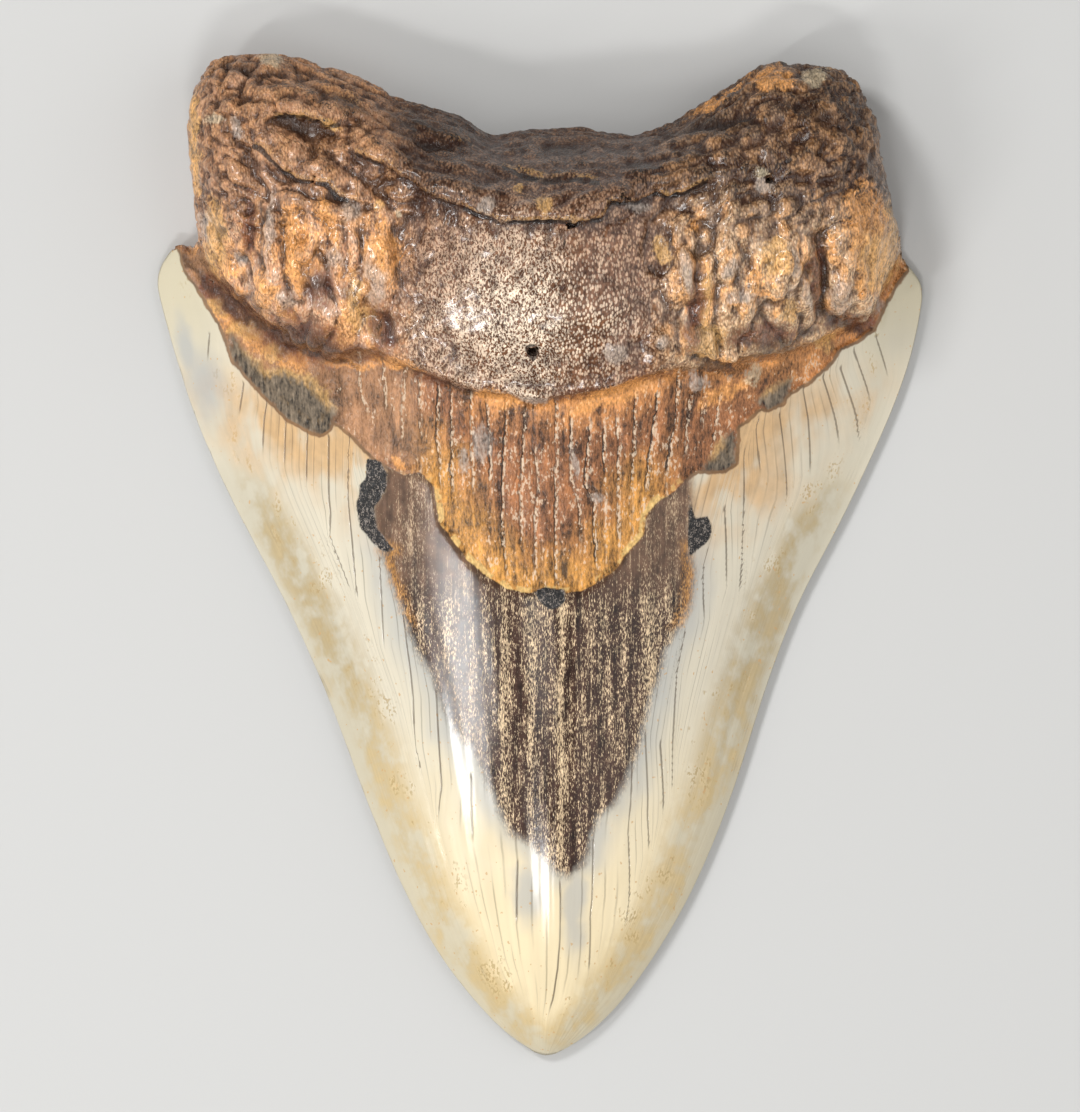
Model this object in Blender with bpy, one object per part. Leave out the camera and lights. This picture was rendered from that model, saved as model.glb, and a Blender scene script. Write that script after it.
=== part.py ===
"""A fossil megalodon tooth at its real size, lying on its flat outer (labial) face.

Frame: +X across the tooth, +Y from the tip towards the root, +Z up, out of the bulging inner (lingual)
face. The origin is under the middle of the tooth, on the surface that it lies on.

The tooth is one solid. It is lofted through curved rows that run from the left edge to the right edge:
crown rows from the tip to the base of the enamel, then root rows along the root's lower edge, its
upper ledge and its base. Each row exists twice, on the lingual and on the labial face, and the two
faces share their border. Sizes below are in millimetres.
"""

import math

import bmesh
import bpy
import numpy as np
from mathutils import Vector, noise

MM = 0.001

# Heights above the surface that the tooth lies on.
CUTTING_EDGE_HEIGHT = 1.5
ROOT_RIM_HEIGHT = 7.0
# Crest of the crown's bulging face, as (y, height), from the tip to under the root.
CROWN_CREST = [(-70, 2.4), (-66, 4.4), (-58, 7.5), (-48, 10.4), (-30, 14.4), (-6, 18.6), (10, 21.0),
               (21, 22.6), (35, 24.0), (70, 25.0)]
# Crest of the root, as (x, height): two lobes with the nutrient bulge between them.
ROOT_CREST = [(-52, 14.5), (-42, 19.0), (-32, 22.2), (-23, 23.4), (-19, 23.8), (-10, 27.6), (0, 29.2),
              (10, 27.9), (16, 24.8), (24, 24.2), (34, 22.8), (43, 19.4), (52, 14.5)]

# Outline of each side, from the tip up the cutting edge to the shoulder, where the root begins, and on up
# the root to the corner of its base.
LEFT_SHOULDER, RIGHT_SHOULDER = (-53.6, 37.4), (53.7, 36.0)
LEFT_SIDE = [(-2.0, -68.6), (-4.7, -66.8), (-9.3, -62.0), (-13.7, -56.4), (-18.4, -48.0), (-24.3, -34.0),
             (-29.5, -20.0), (-35.8, -6.0), (-43.2, 8.0), (-48.2, 19.2), (-51.7, 30.4), LEFT_SHOULDER,
             (-53.5, 39.6), (-52.5, 41.8), (-51.3, 43.2), (-50.4, 43.6), (-49.4, 43.2),
             (-48.2, 44.0), (-47.9, 45.6), (-48.1, 47.9), (-48.7, 52.8), (-49.1, 56.3), (-49.4, 60.1),
             (-49.1, 62.6), (-48.3, 65.4), (-47.1, 67.2), (-46.0, 68.6)]
RIGHT_SIDE = [(3.0, -69.3), (6.0, -67.6), (10.3, -63.7), (15.8, -56.4), (20.8, -48.0), (24.6, -39.6),
              (27.7, -31.2), (30.5, -22.1), (33.1, -14.4), (36.5, -6.0), (42.4, 5.2), (46.7, 14.3),
              (50.1, 22.0), (52.2, 28.3), (53.3, 32.5), RIGHT_SHOULDER,
              (53.4, 38.4), (52.4, 40.0), (51.3, 41.3), (50.8, 42.1),
              (50.5, 44.4), (50.1, 46.9), (49.2, 50.3), (48.5, 53.5), (47.7, 57.0),
              (47.3, 60.1), (46.3, 62.3), (45.1, 64.4)]
# Rows across the tooth, left to right. Each starts and ends at a point of the sides.
TIP = [(-2.0, -68.6), (-0.6, -69.6), (0.8, -70.0), (2.0, -69.8), (3.0, -69.3)]
ROOT_LOWER_EDGE = [(-49.4, 43.2), (-45.6, 38.5), (-41.1, 34.6), (-35.4, 29.7), (-29.2, 27.0),
                   (-23.5, 27.9), (-16.7, 25.2), (-8.3, 22.4), (0.0, 21.3), (8.5, 22.0), (16.9, 24.8),
                   (27.5, 26.2), (36.5, 28.6), (42.9, 31.4), (47.7, 34.9), (50.8, 42.1)]
UPPER_LEDGE = [(-49.4, 60.1), (-41.0, 58.0), (-35.1, 53.5), (-30.7, 51.7), (-26.3, 51.4), (-19.5, 51.9),
               (-15.3, 50.0), (-10.9, 48.3), (-5.5, 46.2), (4.4, 46.2), (8.5, 47.7), (11.3, 49.6),
               (16.9, 51.1), (23.3, 52.2), (31.9, 52.8), (39.3, 54.9), (47.7, 57.0)]
ROOT_BASE = [(-46.0, 68.6), (-44.4, 69.4), (-42.6, 69.9), (-39.8, 70.1), (-36.9, 70.0), (-33.5, 69.2),
             (-29.3, 68.0), (-24.4, 66.2), (-19.5, 63.8), (-15.3, 62.7), (-12.3, 62.0), (-9.7, 60.6),
             (-7.9, 59.0), (-6.2, 58.7), (-3.5, 59.2), (0.0, 59.6), (5.0, 59.8), (10.0, 59.2),
             (13.0, 58.6), (15.6, 59.4), (19.7, 61.3), (23.9, 64.1), (28.1, 66.4), (31.2, 68.3),
             (33.0, 68.7), (36.5, 68.5), (40.7, 68.2), (43.2, 66.9), (45.1, 64.4)]

# Lumps (and, with a negative height, dents) of the lingual root: x, y, half length, half width, turn in
# degrees from +X, height.
LUMPS = [
    (-37.2, 41.3, 7.8, 2.3, 88, 2.1), (-32.2, 45.2, 7.0, 2.4, 80, 1.4), (-27.2, 43.2, 6.4, 2.3, 104, 1.5),
    (-22.0, 40.4, 6.8, 2.4, 98, 1.9), (-38.8, 36.0, 3.2, 2.0, 100, 2.9), (-44.0, 42.4, 4.2, 2.8, 75, 1.9),
    (-42.6, 37.2, 2.0, 2.0, 0, 1.6), (-33.6, 34.2, 4.8, 3.8, 15, 2.1), (-44.2, 52.8, 7.0, 4.4, 85, 1.1),
    (-33.0, 62.3, 6.2, 2.1, -8, 2.6), (-38.1, 68.2, 2.8, 1.5, -10, 1.3), (-44.4, 60.8, 1.9, 1.4, 10, 1.0),
    (-22.0, 61.4, 6.8, 1.5, -24, 1.6), (-24.4, 57.0, 5.4, 1.8, -22, 1.3), (-14.0, 59.4, 4.6, 1.4, -18, 1.1),
    (-29.6, 48.6, 3.0, 2.2, -20, 1.0), (-26.6, 34.0, 3.6, 2.8, 60, 1.1),
    (19.8, 41.3, 5.2, 1.9, 100, 2.0), (25.6, 36.0, 7.6, 4.2, 95, 1.5), (34.6, 40.6, 7.4, 3.4, 84, 1.9),
    (43.4, 36.6, 3.6, 3.4, 0, 3.0), (43.0, 46.6, 6.6, 4.6, 85, 1.0), (17.0, 29.7, 1.9, 1.8, 0, 1.8),
    (21.9, 24.2, 1.3, 1.3, 0, 1.1), (29.7, 25.2, 1.4, 1.4, 0, 1.1), (10.8, 28.2, 1.5, 1.5, 0, 0.8),
    (38.2, 66.4, 2.3, 1.6, 10, 1.1), (30.6, 65.2, 5.2, 2.6, 30, 1.4), (27.0, 47.6, 4.6, 3.0, 70, 0.9),
    (38.0, 58.6, 4.0, 2.6, 10, 0.9), (-1.2, 22.0, 2.4, 1.0, -6, 0.9),
    (-32.8, 59.0, 5.2, 1.5, -10, -2.0), (-14.4, 57.0, 3.0, 1.6, -5, -1.4), (3.4, 57.3, 3.2, 1.6, -4, -1.3),
    (9.8, 57.5, 3.4, 1.6, 6, -1.3), (25.6, 61.4, 5.6, 1.7, 14, -1.6), (39.4, 43.0, 6.4, 1.6, 90, -1.3),
    (-20.0, 37.6, 7.4, 1.6, 92, -1.0), (16.2, 43.2, 8.0, 1.4, 94, -1.0), (41.4, 31.2, 3.2, 1.6, -18, -1.3),
    (22.6, 41.6, 6.4, 1.6, 100, -0.9), (12.6, 50.2, 2.6, 1.6, 8, -1.1), (-7.6, 48.4, 2.2, 1.6, -14, -1.1),
]
# Ledges: a layer that stands proud above each line, as (height, reach, points from left to right).
LEDGES = [
    (1.9, 5.0, [(-41.0, 58.0), (-38.2, 56.6), (-36.7, 54.7), (-32.7, 52.1), (-29.5, 51.0), (-27.0, 49.0)]),
    (2.2, 6.0, [(-26.0, 56.4), (-22.5, 54.2), (-19.3, 52.2), (-15.8, 50.1), (-12.0, 49.4), (-8.0, 47.0),
                (-5.4, 46.1), (0.0, 46.8), (6.4, 46.2), (8.4, 47.4), (11.2, 49.4), (16.8, 51.0),
                (23.3, 52.1)]),
]
# Vascular pits of the root: x, y, width, depth. The first is the nutrient foramen.
PITS = [(-1.0, 28.3, 1.5, 3.0), (4.5, 46.0, 1.3, 1.6), (11.8, 49.6, 1.5, 2.2), (31.9, 52.4, 1.5, 2.0),
        (-31.4, 52.3, 1.2, 1.5)]
# Hollow between the lobes on the labial face.
LABIAL_HOLLOW_DEPTH = 3.6
LABIAL_HOLLOW_HALF_WIDTH = 20.0

# Mesh density: an even number of columns, and of rows after the first one.
COLUMNS = 64
CROWN_ROWS = 22
BOURLETTE_ROWS = 10
BULGE_ROWS = 17
BASE_ROWS = 11

# Base of the enamel on the lingual face: a chevron that dips from the shoulders to the middle.
SHOULDERS_Y = 42.5
SHOULDERS_HALF_WIDTH = 51.0
CHEVRON_DEPTH = 42.0
CHEVRON_POWER = 1.4
# Base of the enamel on the labial face: a shallow arc.
LABIAL_BASE_Y = 43.0
LABIAL_BASE_DEPTH = 15.0

# Section of the crown near the tip and near its base. The greater these powers, the fuller the lens.
CROWN_RIDGE_POWERS = (1.65, 2.0)
CROWN_FULLNESS_POWERS = (0.85, 1.25)
CUTTING_EDGE_BEVEL = 10.0  # how far in from the edge the labial face rises towards it

# Root: the pairs give a value for the lobes and one for the bulge between them.
BULGE_HALF_WIDTH = 15.0
ROOT_STEP_WIDTH = 0.9  # how far in plan the root takes to stand proud of the crown
ROOT_STEP_HEIGHTS = (3.0, 0.7)
ROOT_BASE_HEIGHTS = (14.5, 11.0)
ROOT_ROUNDINGS = (6.5, 3.8)
KNOB_SPACING = 4.0  # size and height of the small knobs all over the root
KNOB_HEIGHT = 2.3
KNOB_MEAN = 0.3  # mean of the noise that makes them
PIT_REACH = 4.5  # how far around a pit the mesh gives way for it

ENAMEL = ("enamel", (0.72, 0.66, 0.50), 0.22)
DENTINE = ("orange dentine", (0.42, 0.20, 0.07), 0.45)
ROOT = ("root", (0.19, 0.10, 0.06), 0.50)


def smooth_step(low, high, value):
    t = np.clip((value - low) / (high - low), 0.0, 1.0)
    return t * t * (3.0 - 2.0 * t)


def blend(a, b, share):
    return a + (b - a) * share


def smooth_curve(points, value):
    """Height of a smooth curve through points (sorted by x) at value: cubic pieces with mild tangents."""
    x, y = np.array(points, float).T
    slopes = np.gradient(y, x)
    value = np.clip(value, x[0], x[-1])
    k = np.clip(np.searchsorted(x, value) - 1, 0, len(x) - 2)
    width = x[k + 1] - x[k]
    t = (value - x[k]) / width
    start = (1 + 2 * t) * (1 - t) ** 2 * y[k] + t * (1 - t) ** 2 * width * slopes[k]
    end = t * t * (3 - 2 * t) * y[k + 1] + t * t * (t - 1) * width * slopes[k + 1]
    return start + end


def along(points, share):
    """Points at these shares of the length of a smooth line through points."""
    points = np.array(points, float)
    steps = np.linalg.norm(np.diff(points, axis=0), axis=1)
    length = np.concatenate([[0], np.cumsum(steps)])
    share = np.asarray(share, float) * length[-1]
    x = smooth_curve(np.column_stack([length, points[:, 0]]), share)
    y = smooth_curve(np.column_stack([length, points[:, 1]]), share)
    return np.stack([x, y], axis=-1)


def column_shares():
    """Places of the columns from the left edge, 0, to the right edge, 1, closer together at both edges."""
    even = np.linspace(0.0, 1.0, COLUMNS + 1)
    crowded = 0.5 - 0.5 * np.cos(math.pi * even)
    return blend(even, crowded, 0.4)


def stretch(side, first, last):
    return side[side.index(first) : side.index(last) + 1]


def drawn_row(points):
    across = column_shares()
    x = blend(points[0][0], points[-1][0], across)
    return np.column_stack([x, smooth_curve(points, x)])


def crown_row(share):
    """Row at this share of the way up both cutting edges: a line that dips between them."""
    left = along(stretch(LEFT_SIDE, TIP[0], LEFT_SHOULDER), share)
    right = along(stretch(RIGHT_SIDE, TIP[-1], RIGHT_SHOULDER), share)
    across = column_shares()
    row = blend(left, right, across[:, None])
    depth = CHEVRON_DEPTH * share ** CHEVRON_POWER
    row[:, 1] -= depth * (1.0 - np.abs(2.0 * across - 1.0) ** CHEVRON_POWER)
    # The rows next to the tip take its roundness.
    tip = drawn_row(TIP)
    roundness = tip[:, 1] - blend(tip[0, 1], tip[-1, 1], across)
    row[:, 1] += roundness * max(0.0, 1.0 - share / 0.12) ** 2
    return row


def rows_between(lower, upper, shares, left, right):
    """Rows on the way from lower to upper, whose ends follow the two sides of the tooth."""
    across = column_shares()[:, None]
    made = []
    for share in shares:
        row = blend(lower, upper, share)
        left_shift = along(left, share) - row[0]
        right_shift = along(right, share) - row[-1]
        made.append(row + (1 - across) ** 3 * left_shift + across ** 3 * right_shift)
    return made


def plan():
    """Plan positions of the mesh's vertices, in rows from the tip to the base of the root."""
    rows = [crown_row(share) for share in np.linspace(0, 1, CROWN_ROWS + 1) ** 1.15]
    lower, ledge, base = (drawn_row(points) for points in (ROOT_LOWER_EDGE, UPPER_LEDGE, ROOT_BASE))
    even = [np.linspace(0, 1, count + 1)[1:] for count in (BOURLETTE_ROWS, BULGE_ROWS - 1, BASE_ROWS)]
    # One row follows close above the root's lower edge, to make its step steep.
    step_share = 0.042
    bulge = [step_share, *blend(step_share, 1.0, even[1])]
    ends = [(LEFT_SHOULDER, RIGHT_SHOULDER),
            *[(points[0], points[-1]) for points in (ROOT_LOWER_EDGE, UPPER_LEDGE, ROOT_BASE)]]
    bands = [(rows[-1], lower, even[0]), (lower, ledge, bulge),
             (ledge, base, np.sin(0.5 * math.pi * even[2]))]
    for (start, end, shares), first, last in zip(bands, ends[:-1], ends[1:]):
        rows += rows_between(start, end, shares, stretch(LEFT_SIDE, first[0], last[0]),
                             stretch(RIGHT_SIDE, first[1], last[1]))
    places = np.array(rows)
    for x, y, _, _ in PITS:
        centre_cell(places, np.array([x, y]))
    return places


def centre_cell(places, target):
    """Shifts the vertices around target a little, so that the nearest cell has it in its middle."""
    middles = (places[:-1, :-1] + places[:-1, 1:] + places[1:, :-1] + places[1:, 1:]) / 4
    off = np.linalg.norm(middles - target, axis=-1)
    shift = target - middles[np.unravel_index(off.argmin(), off.shape)]
    falloff = np.exp(-((np.linalg.norm(places - target, axis=-1) / PIT_REACH) ** 2))
    places += falloff[..., None] * shift


def distance_to_line(place, line):
    """Distance from each place to the nearest point of a line of straight pieces."""
    nearest = np.full(place.shape[:-1], np.inf)
    for start, end in zip(line[:-1], line[1:]):
        piece = end - start
        share = np.clip(((place - start) @ piece) / max(piece @ piece, 1e-12), 0, 1)
        nearest = np.minimum(nearest, np.linalg.norm(place - start - share[..., None] * piece, axis=-1))
    return nearest


def border(places):
    return np.concatenate([places[:, 0], places[-1], places[::-1, -1], places[0, ::-1]])


def rounded(share):
    """Quarter circle: 0 at the rim, level at 1."""
    return np.sqrt(1.0 - (1.0 - np.clip(share, 0, 1)) ** 2)


def crown_height(x, y):
    """Lingual face of the crown: a lens across the tooth, thin at its cutting edges."""
    left, right = (smooth_curve([(py, px) for px, py in edge], y)
                   for edge in (stretch(LEFT_SIDE, TIP[0], LEFT_SHOULDER),
                                stretch(RIGHT_SIDE, TIP[-1], RIGHT_SHOULDER)))
    off_axis = np.clip(np.abs(2.0 * (x - left) / (right - left) - 1.0), 0, 1)
    ridge = blend(*CROWN_RIDGE_POWERS, smooth_step(-60, 0, y))
    fullness = blend(*CROWN_FULLNESS_POWERS, smooth_step(-60, 25, y))
    lens = (1.0 - off_axis ** ridge) ** fullness
    return CUTTING_EDGE_HEIGHT + (smooth_curve(CROWN_CREST, y) - CUTTING_EDGE_HEIGHT) * lens


def root_height(x, y, inset):
    """Lingual face of the root: up from its lower edge to the crest, then down the base to the rim."""
    lower, ledge, base = (smooth_curve(points, x) for points in (ROOT_LOWER_EDGE, UPPER_LEDGE, ROOT_BASE))
    crest = smooth_curve(ROOT_CREST, x)
    middle = np.exp(-((x / BULGE_HALF_WIDTH) ** 2))
    foot = crown_height(x, lower) + blend(*ROOT_STEP_HEIGHTS, middle)
    up = smooth_step(0.0, 0.55, (y - lower) / (ledge - lower))
    down = np.clip((y - ledge) / np.maximum(base - ledge, 1.0), 0, 1)
    far = blend(*ROOT_BASE_HEIGHTS, middle)
    height = blend(blend(np.minimum(foot, crest), crest, up), far, down ** 1.7)
    rounding = blend(*ROOT_ROUNDINGS, middle)
    return ROOT_RIM_HEIGHT + (height - ROOT_RIM_HEIGHT) * rounded(inset / rounding)


def lump_height(x, y):
    total = np.zeros_like(x)
    for centre_x, centre_y, half_length, half_width, turn, height in LUMPS:
        c, s = math.cos(math.radians(turn)), math.sin(math.radians(turn))
        lengthwise = ((x - centre_x) * c + (y - centre_y) * s) / half_length
        crosswise = ((y - centre_y) * c - (x - centre_x) * s) / half_width
        total += height * np.exp(-(lengthwise ** 4 + crosswise ** 2))
    return total


def ledge_height(x, y):
    """Step up at each ledge's line, which fades towards the base and at the line's ends."""
    total = np.zeros_like(x)
    for height, reach, points in LEDGES:
        above = y - smooth_curve(points, x)
        fade_in = smooth_step(points[0][0] - 0.5, points[0][0] + 4.0, x)
        fade_out = 1.0 - smooth_step(points[-1][0] - 4.0, points[-1][0] + 0.5, x)
        step = smooth_step(-0.4, 0.6, above) * np.exp(-np.clip(above, 0, None) / reach)
        total += height * step * fade_in * fade_out
    return total


def knob_height(x, y):
    """Small knobs with creases between them, high on the lobes and low on the bulge between them."""
    knobs = [abs(noise.noise(Vector((px, py, 0)))) + 0.5 * abs(noise.noise(Vector((2.1 * px, 2.1 * py, 7))))
             for px, py in zip(x.ravel() / KNOB_SPACING, y.ravel() / KNOB_SPACING)]
    on_lobes = 1.0 - 0.8 * np.exp(-((x / BULGE_HALF_WIDTH) ** 4)) * (1.0 - smooth_step(44, 50, y))
    return KNOB_HEIGHT * (np.reshape(knobs, x.shape) - KNOB_MEAN) * on_lobes


def past_lower_edge(x, y):
    """Distance past the root's lower edge, positive on the root."""
    x_ends = ROOT_LOWER_EDGE[0][0], ROOT_LOWER_EDGE[-1][0]
    line = drawn_row(ROOT_LOWER_EDGE)
    distance = distance_to_line(np.stack([x, y], axis=-1), line)
    on_root = (x >= x_ends[0]) & (x <= x_ends[1]) & (y > smooth_curve(ROOT_LOWER_EDGE, x))
    on_root |= (y > 45) | ((y > 43.3) & (x > x_ends[1] - 1))
    return np.where(on_root, distance, -distance)


def lingual_height(x, y, inset):
    past = past_lower_edge(x, y)
    on_root = smooth_step(0.0, ROOT_STEP_WIDTH, past)
    relief = (lump_height(x, y) + ledge_height(x, y) + knob_height(x, y)) * smooth_step(0.0, 3.0, inset)
    crown = crown_height(x, y) + 0.5 * relief * smooth_step(-3.0, 0.0, past)
    return blend(crown, root_height(x, y, inset) + relief, on_root)


def labial_height(x, y, inset):
    """Labial face: flat, rising to the cutting edges, with rounded root sides and a hollow between lobes."""
    crown = CUTTING_EDGE_HEIGHT * np.clip(1.0 - inset / CUTTING_EDGE_BEVEL, 0, 1) ** 2
    root = ROOT_RIM_HEIGHT * (1.0 - rounded(inset / ROOT_ROUNDINGS[0]))
    across = np.exp(-((x / LABIAL_HOLLOW_HALF_WIDTH) ** 2))
    hollow = LABIAL_HOLLOW_DEPTH * across * smooth_step(24.0, 58.0, y)
    return blend(crown, root, smooth_step(41.0, 48.5, y)) + np.clip(hollow - 0.15, 0, None)


def border_height(y):
    return blend(CUTTING_EDGE_HEIGHT, ROOT_RIM_HEIGHT, smooth_step(42.0, 47.0, y))


def join_faces(places):
    """Vertices and faces of the closed mesh: lingual and labial faces over one plan, with one border."""
    rows, columns = places.shape[:2]
    x, y = places[..., 0], places[..., 1]
    inset = distance_to_line(places, border(places))
    on_border = np.zeros((rows, columns), bool)
    on_border[[0, -1]] = on_border[:, [0, -1]] = True
    lingual = np.where(on_border, border_height(y), lingual_height(x, y, inset))
    labial = labial_height(x, y, inset)
    # The labial face is plain, so away from the border it keeps only every second row and column.
    kept = ~on_border
    kept[1::2] = kept[:, 1::2] = False
    lingual_index = np.arange(rows * columns).reshape(rows, columns)
    labial_index = np.where(on_border, lingual_index, -1)
    labial_index[kept] = rows * columns + np.arange(kept.sum())
    vertices = np.concatenate([np.stack([x, y, lingual], axis=-1).reshape(-1, 3),
                               np.stack([x, y, labial], axis=-1)[kept]])
    return vertices, lingual_faces(lingual_index) + labial_faces(labial_index)


def lingual_faces(index):
    rows, columns = index.shape
    faces = []
    for r in range(rows - 1):
        for c in range(columns - 1):
            quad = [index[r, c], index[r, c + 1], index[r + 1, c + 1], index[r + 1, c]]
            if r in (0, rows - 2) and c in (0, columns - 2):
                # A corner of the grid is split through the corner, so that both halves reach inwards.
                turn = 0 if (r == 0) == (c == 0) else 1
                quad = quad[turn:] + quad[:turn]
                faces += [quad[:3], [quad[0], *quad[2:]]]
            else:
                faces.append(quad)
    return faces


def labial_faces(index):
    """Faces two cells wide. Those at the border take up its extra vertices with a fan of triangles."""
    rows, columns = index.shape
    faces = []
    for r in range(0, rows - 1, 2):
        for c in range(0, columns - 1, 2):
            around = [(r, c), (r + 1, c), (r + 2, c), (r + 2, c + 1), (r + 2, c + 2), (r + 1, c + 2),
                      (r, c + 2), (r, c + 1)]
            ring = [place for place in around if index[place] >= 0]
            if len(ring) == 4:
                faces.append([index[place] for place in ring])
                continue
            hub = next(i for i, (pr, pc) in enumerate(ring) if 0 < pr < rows - 1 and 0 < pc < columns - 1)
            spokes = ring[hub + 1 :] + ring[:hub]
            faces += [[index[ring[hub]], index[a], index[b]] for a, b in zip(spokes[:-1], spokes[1:])]
    return faces


def sink_pit(mesh, pit):
    """Insets the lingual face nearest to the pit's place and pushes it in, as a small tapered hole."""
    x, y, width, depth = (value * MM for value in pit)
    bm = bmesh.new()
    bm.from_mesh(mesh)
    upward = [f for f in bm.faces if f.normal.z > 0.2]
    face = min(upward, key=lambda f: (f.calc_center_median().xy - Vector((x, y))).length)
    size = math.sqrt(face.calc_area())
    bmesh.ops.inset_region(bm, faces=[face], thickness=max((size - width) / 2, 0.1 * size))
    inward = -face.normal.copy()
    bmesh.ops.inset_region(bm, faces=[face], thickness=0.22 * width, depth=0.0)
    bmesh.ops.translate(bm, verts=face.verts, vec=inward * depth)
    bm.to_mesh(mesh)
    bm.free()


def add_finish(mesh, name, colour, roughness):
    material = bpy.data.materials.new(name)
    material.use_nodes = True
    shader = material.node_tree.nodes["Principled BSDF"]
    shader.inputs["Base Color"].default_value = (*colour, 1.0)
    shader.inputs["Roughness"].default_value = roughness
    mesh.materials.append(material)


def paint_regions(mesh):
    """Gives each face its finish: root above its lower edge, enamel below the chevron, dentine between."""
    for face in mesh.polygons:
        x, y, _ = face.center / MM
        lower = float(smooth_curve(ROOT_LOWER_EDGE, np.array(x)))
        off_axis = min(abs(x) / SHOULDERS_HALF_WIDTH, 1.0)
        chevron = SHOULDERS_Y - CHEVRON_DEPTH * (1.0 - off_axis ** CHEVRON_POWER)
        labial_base = LABIAL_BASE_Y - LABIAL_BASE_DEPTH * (1.0 - off_axis ** 2)
        if face.normal.z > 0:
            face.material_index = 2 if y > lower else (0 if y < chevron else 1)
        else:
            face.material_index = 2 if y > labial_base else 0


def make_tooth():
    vertices, faces = join_faces(plan())
    middle = (vertices.max(axis=0) + vertices.min(axis=0)) / 2
    vertices[:, :2] -= middle[:2]
    mesh = bpy.data.meshes.new("tooth")
    mesh.from_pydata((vertices * MM).tolist(), [], [[int(i) for i in face] for face in faces])
    for pit in PITS:
        sink_pit(mesh, pit)
    for finish in (ENAMEL, DENTINE, ROOT):
        add_finish(mesh, *finish)
    paint_regions(mesh)
    mesh.shade_smooth()
    mesh.set_sharp_from_angle(angle=math.radians(70))
    tooth = bpy.data.objects.new("tooth", mesh)
    bpy.context.scene.collection.objects.link(tooth)
    return tooth


def clear_scene():
    for obj in list(bpy.data.objects):
        bpy.data.objects.remove(obj)


clear_scene()
make_tooth()
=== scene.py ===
"""Finish of a fossil megalodon tooth: its relief, enamel, stained dentine and root, on a pale floor.

The tooth lies on its labial face. +Y points from the tip to the root, and +Z out of the bulging lingual
face. The tooth's outlines, places and sizes are in millimetres here, and so are the shader's patterns. The
studio's are in metres.
"""

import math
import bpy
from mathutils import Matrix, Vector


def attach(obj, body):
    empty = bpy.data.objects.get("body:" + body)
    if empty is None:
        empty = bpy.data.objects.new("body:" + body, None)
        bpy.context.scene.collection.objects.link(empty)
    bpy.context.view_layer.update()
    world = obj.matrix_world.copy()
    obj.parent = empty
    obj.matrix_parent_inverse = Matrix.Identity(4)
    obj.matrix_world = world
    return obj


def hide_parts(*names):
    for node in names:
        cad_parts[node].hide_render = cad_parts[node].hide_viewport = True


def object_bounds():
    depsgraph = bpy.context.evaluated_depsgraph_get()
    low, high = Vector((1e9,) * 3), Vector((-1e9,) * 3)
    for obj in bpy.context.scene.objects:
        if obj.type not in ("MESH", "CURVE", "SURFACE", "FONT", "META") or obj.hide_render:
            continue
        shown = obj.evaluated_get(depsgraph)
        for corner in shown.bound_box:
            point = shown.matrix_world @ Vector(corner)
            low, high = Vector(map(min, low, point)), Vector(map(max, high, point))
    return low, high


bl_info = {
    "name": "Fossil megalodon tooth",
    "version": (1, 0, 0),
    "blender": (4, 5, 0),
    "location": "View3D > Sidebar > Tooth",
    "description": "Models the relief and paints the finish of a fossil megalodon tooth",
    "category": "Object",
}

from collections import namedtuple

import bpy
import numpy as np
from mathutils import Vector, noise

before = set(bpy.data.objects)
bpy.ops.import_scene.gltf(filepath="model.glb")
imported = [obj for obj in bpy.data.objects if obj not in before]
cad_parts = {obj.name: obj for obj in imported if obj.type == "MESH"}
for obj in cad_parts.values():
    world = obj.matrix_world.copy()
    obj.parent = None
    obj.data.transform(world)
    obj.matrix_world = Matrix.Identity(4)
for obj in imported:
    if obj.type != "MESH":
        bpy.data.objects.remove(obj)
CAD_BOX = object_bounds()
MM = 0.001

# Middle of the torus, which is the raised middle of the root.
TORUS_X, TORUS_Y = -2.0, 33.0
# Lower edge of the root on the lingual face, from the left shoulder to the right one.
ROOT_EDGE = [
    (-49.4, 43.2), (-47.7, 43), (-44.2, 38.4), (-40.6, 34.2), (-37.5, 30.7), (-35.4, 29.4), (-32.2, 27.3),
    (-29.2, 26.7), (-27.3, 27.6), (-25, 28.3), (-22.5, 27), (-20.8, 26.2), (-18.7, 25.8), (-9.8, 22.3),
    (0.7, 21.3), (9.8, 22.7), (16.8, 25.1), (18.8, 25.5), (20.7, 25.6), (23.7, 25.9), (26.5, 25.9),
    (28.4, 26.9), (30.8, 27.4), (34.5, 27.9), (38.1, 29.3), (41.3, 30.7), (44.1, 31.6), (46.1, 32.2),
    (47.5, 33.9), (47.8, 36), (50.8, 42.1)]
# Broken upper edge of the enamel, from the left shoulder down to the middle and up to the right one.
ENAMEL_TOP = [
    (-50.4, 43), (-49.5, 39.8), (-47, 36.3), (-44.4, 31.8), (-42.8, 27.3), (-41.1, 25.3), (-39, 23),
    (-35.4, 19.3), (-31.9, 17.4), (-30.6, 16.9), (-29.2, 17.8), (-29, 18.9), (-27.3, 17.8), (-25.7, 16.4),
    (-24.3, 14.7), (-22.4, 13.2), (-20.7, 12.2), (-19, 11.3), (-16.8, 11.6), (-14.8, 9.8), (-14, 4.5),
    (-12.2, 2.2), (-10.3, -0.3), (-7.7, -2.7), (-4.7, -4.5), (-1.8, -5.2), (0.6, -4.9), (3.5, -5.2),
    (5.8, -4.9), (8, -3.8), (10.7, -1.8), (11.8, 0), (14.6, 3.1), (14.7, 5.3), (16.3, 7.6), (18.5, 8.7),
    (20.5, 10.9), (21.9, 12), (23.1, 11.8), (25.8, 11.9), (27.3, 12.9), (27.5, 17.9), (28.7, 18.9),
    (30.7, 20.6), (31.8, 20.4), (33.8, 21.3), (34.5, 22.5), (37.7, 24.5), (40.5, 26.9), (41.7, 28.8),
    (44.1, 30), (46.5, 31.6), (47.8, 34.3), (49.7, 37.9), (51.8, 40.6)]
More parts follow.
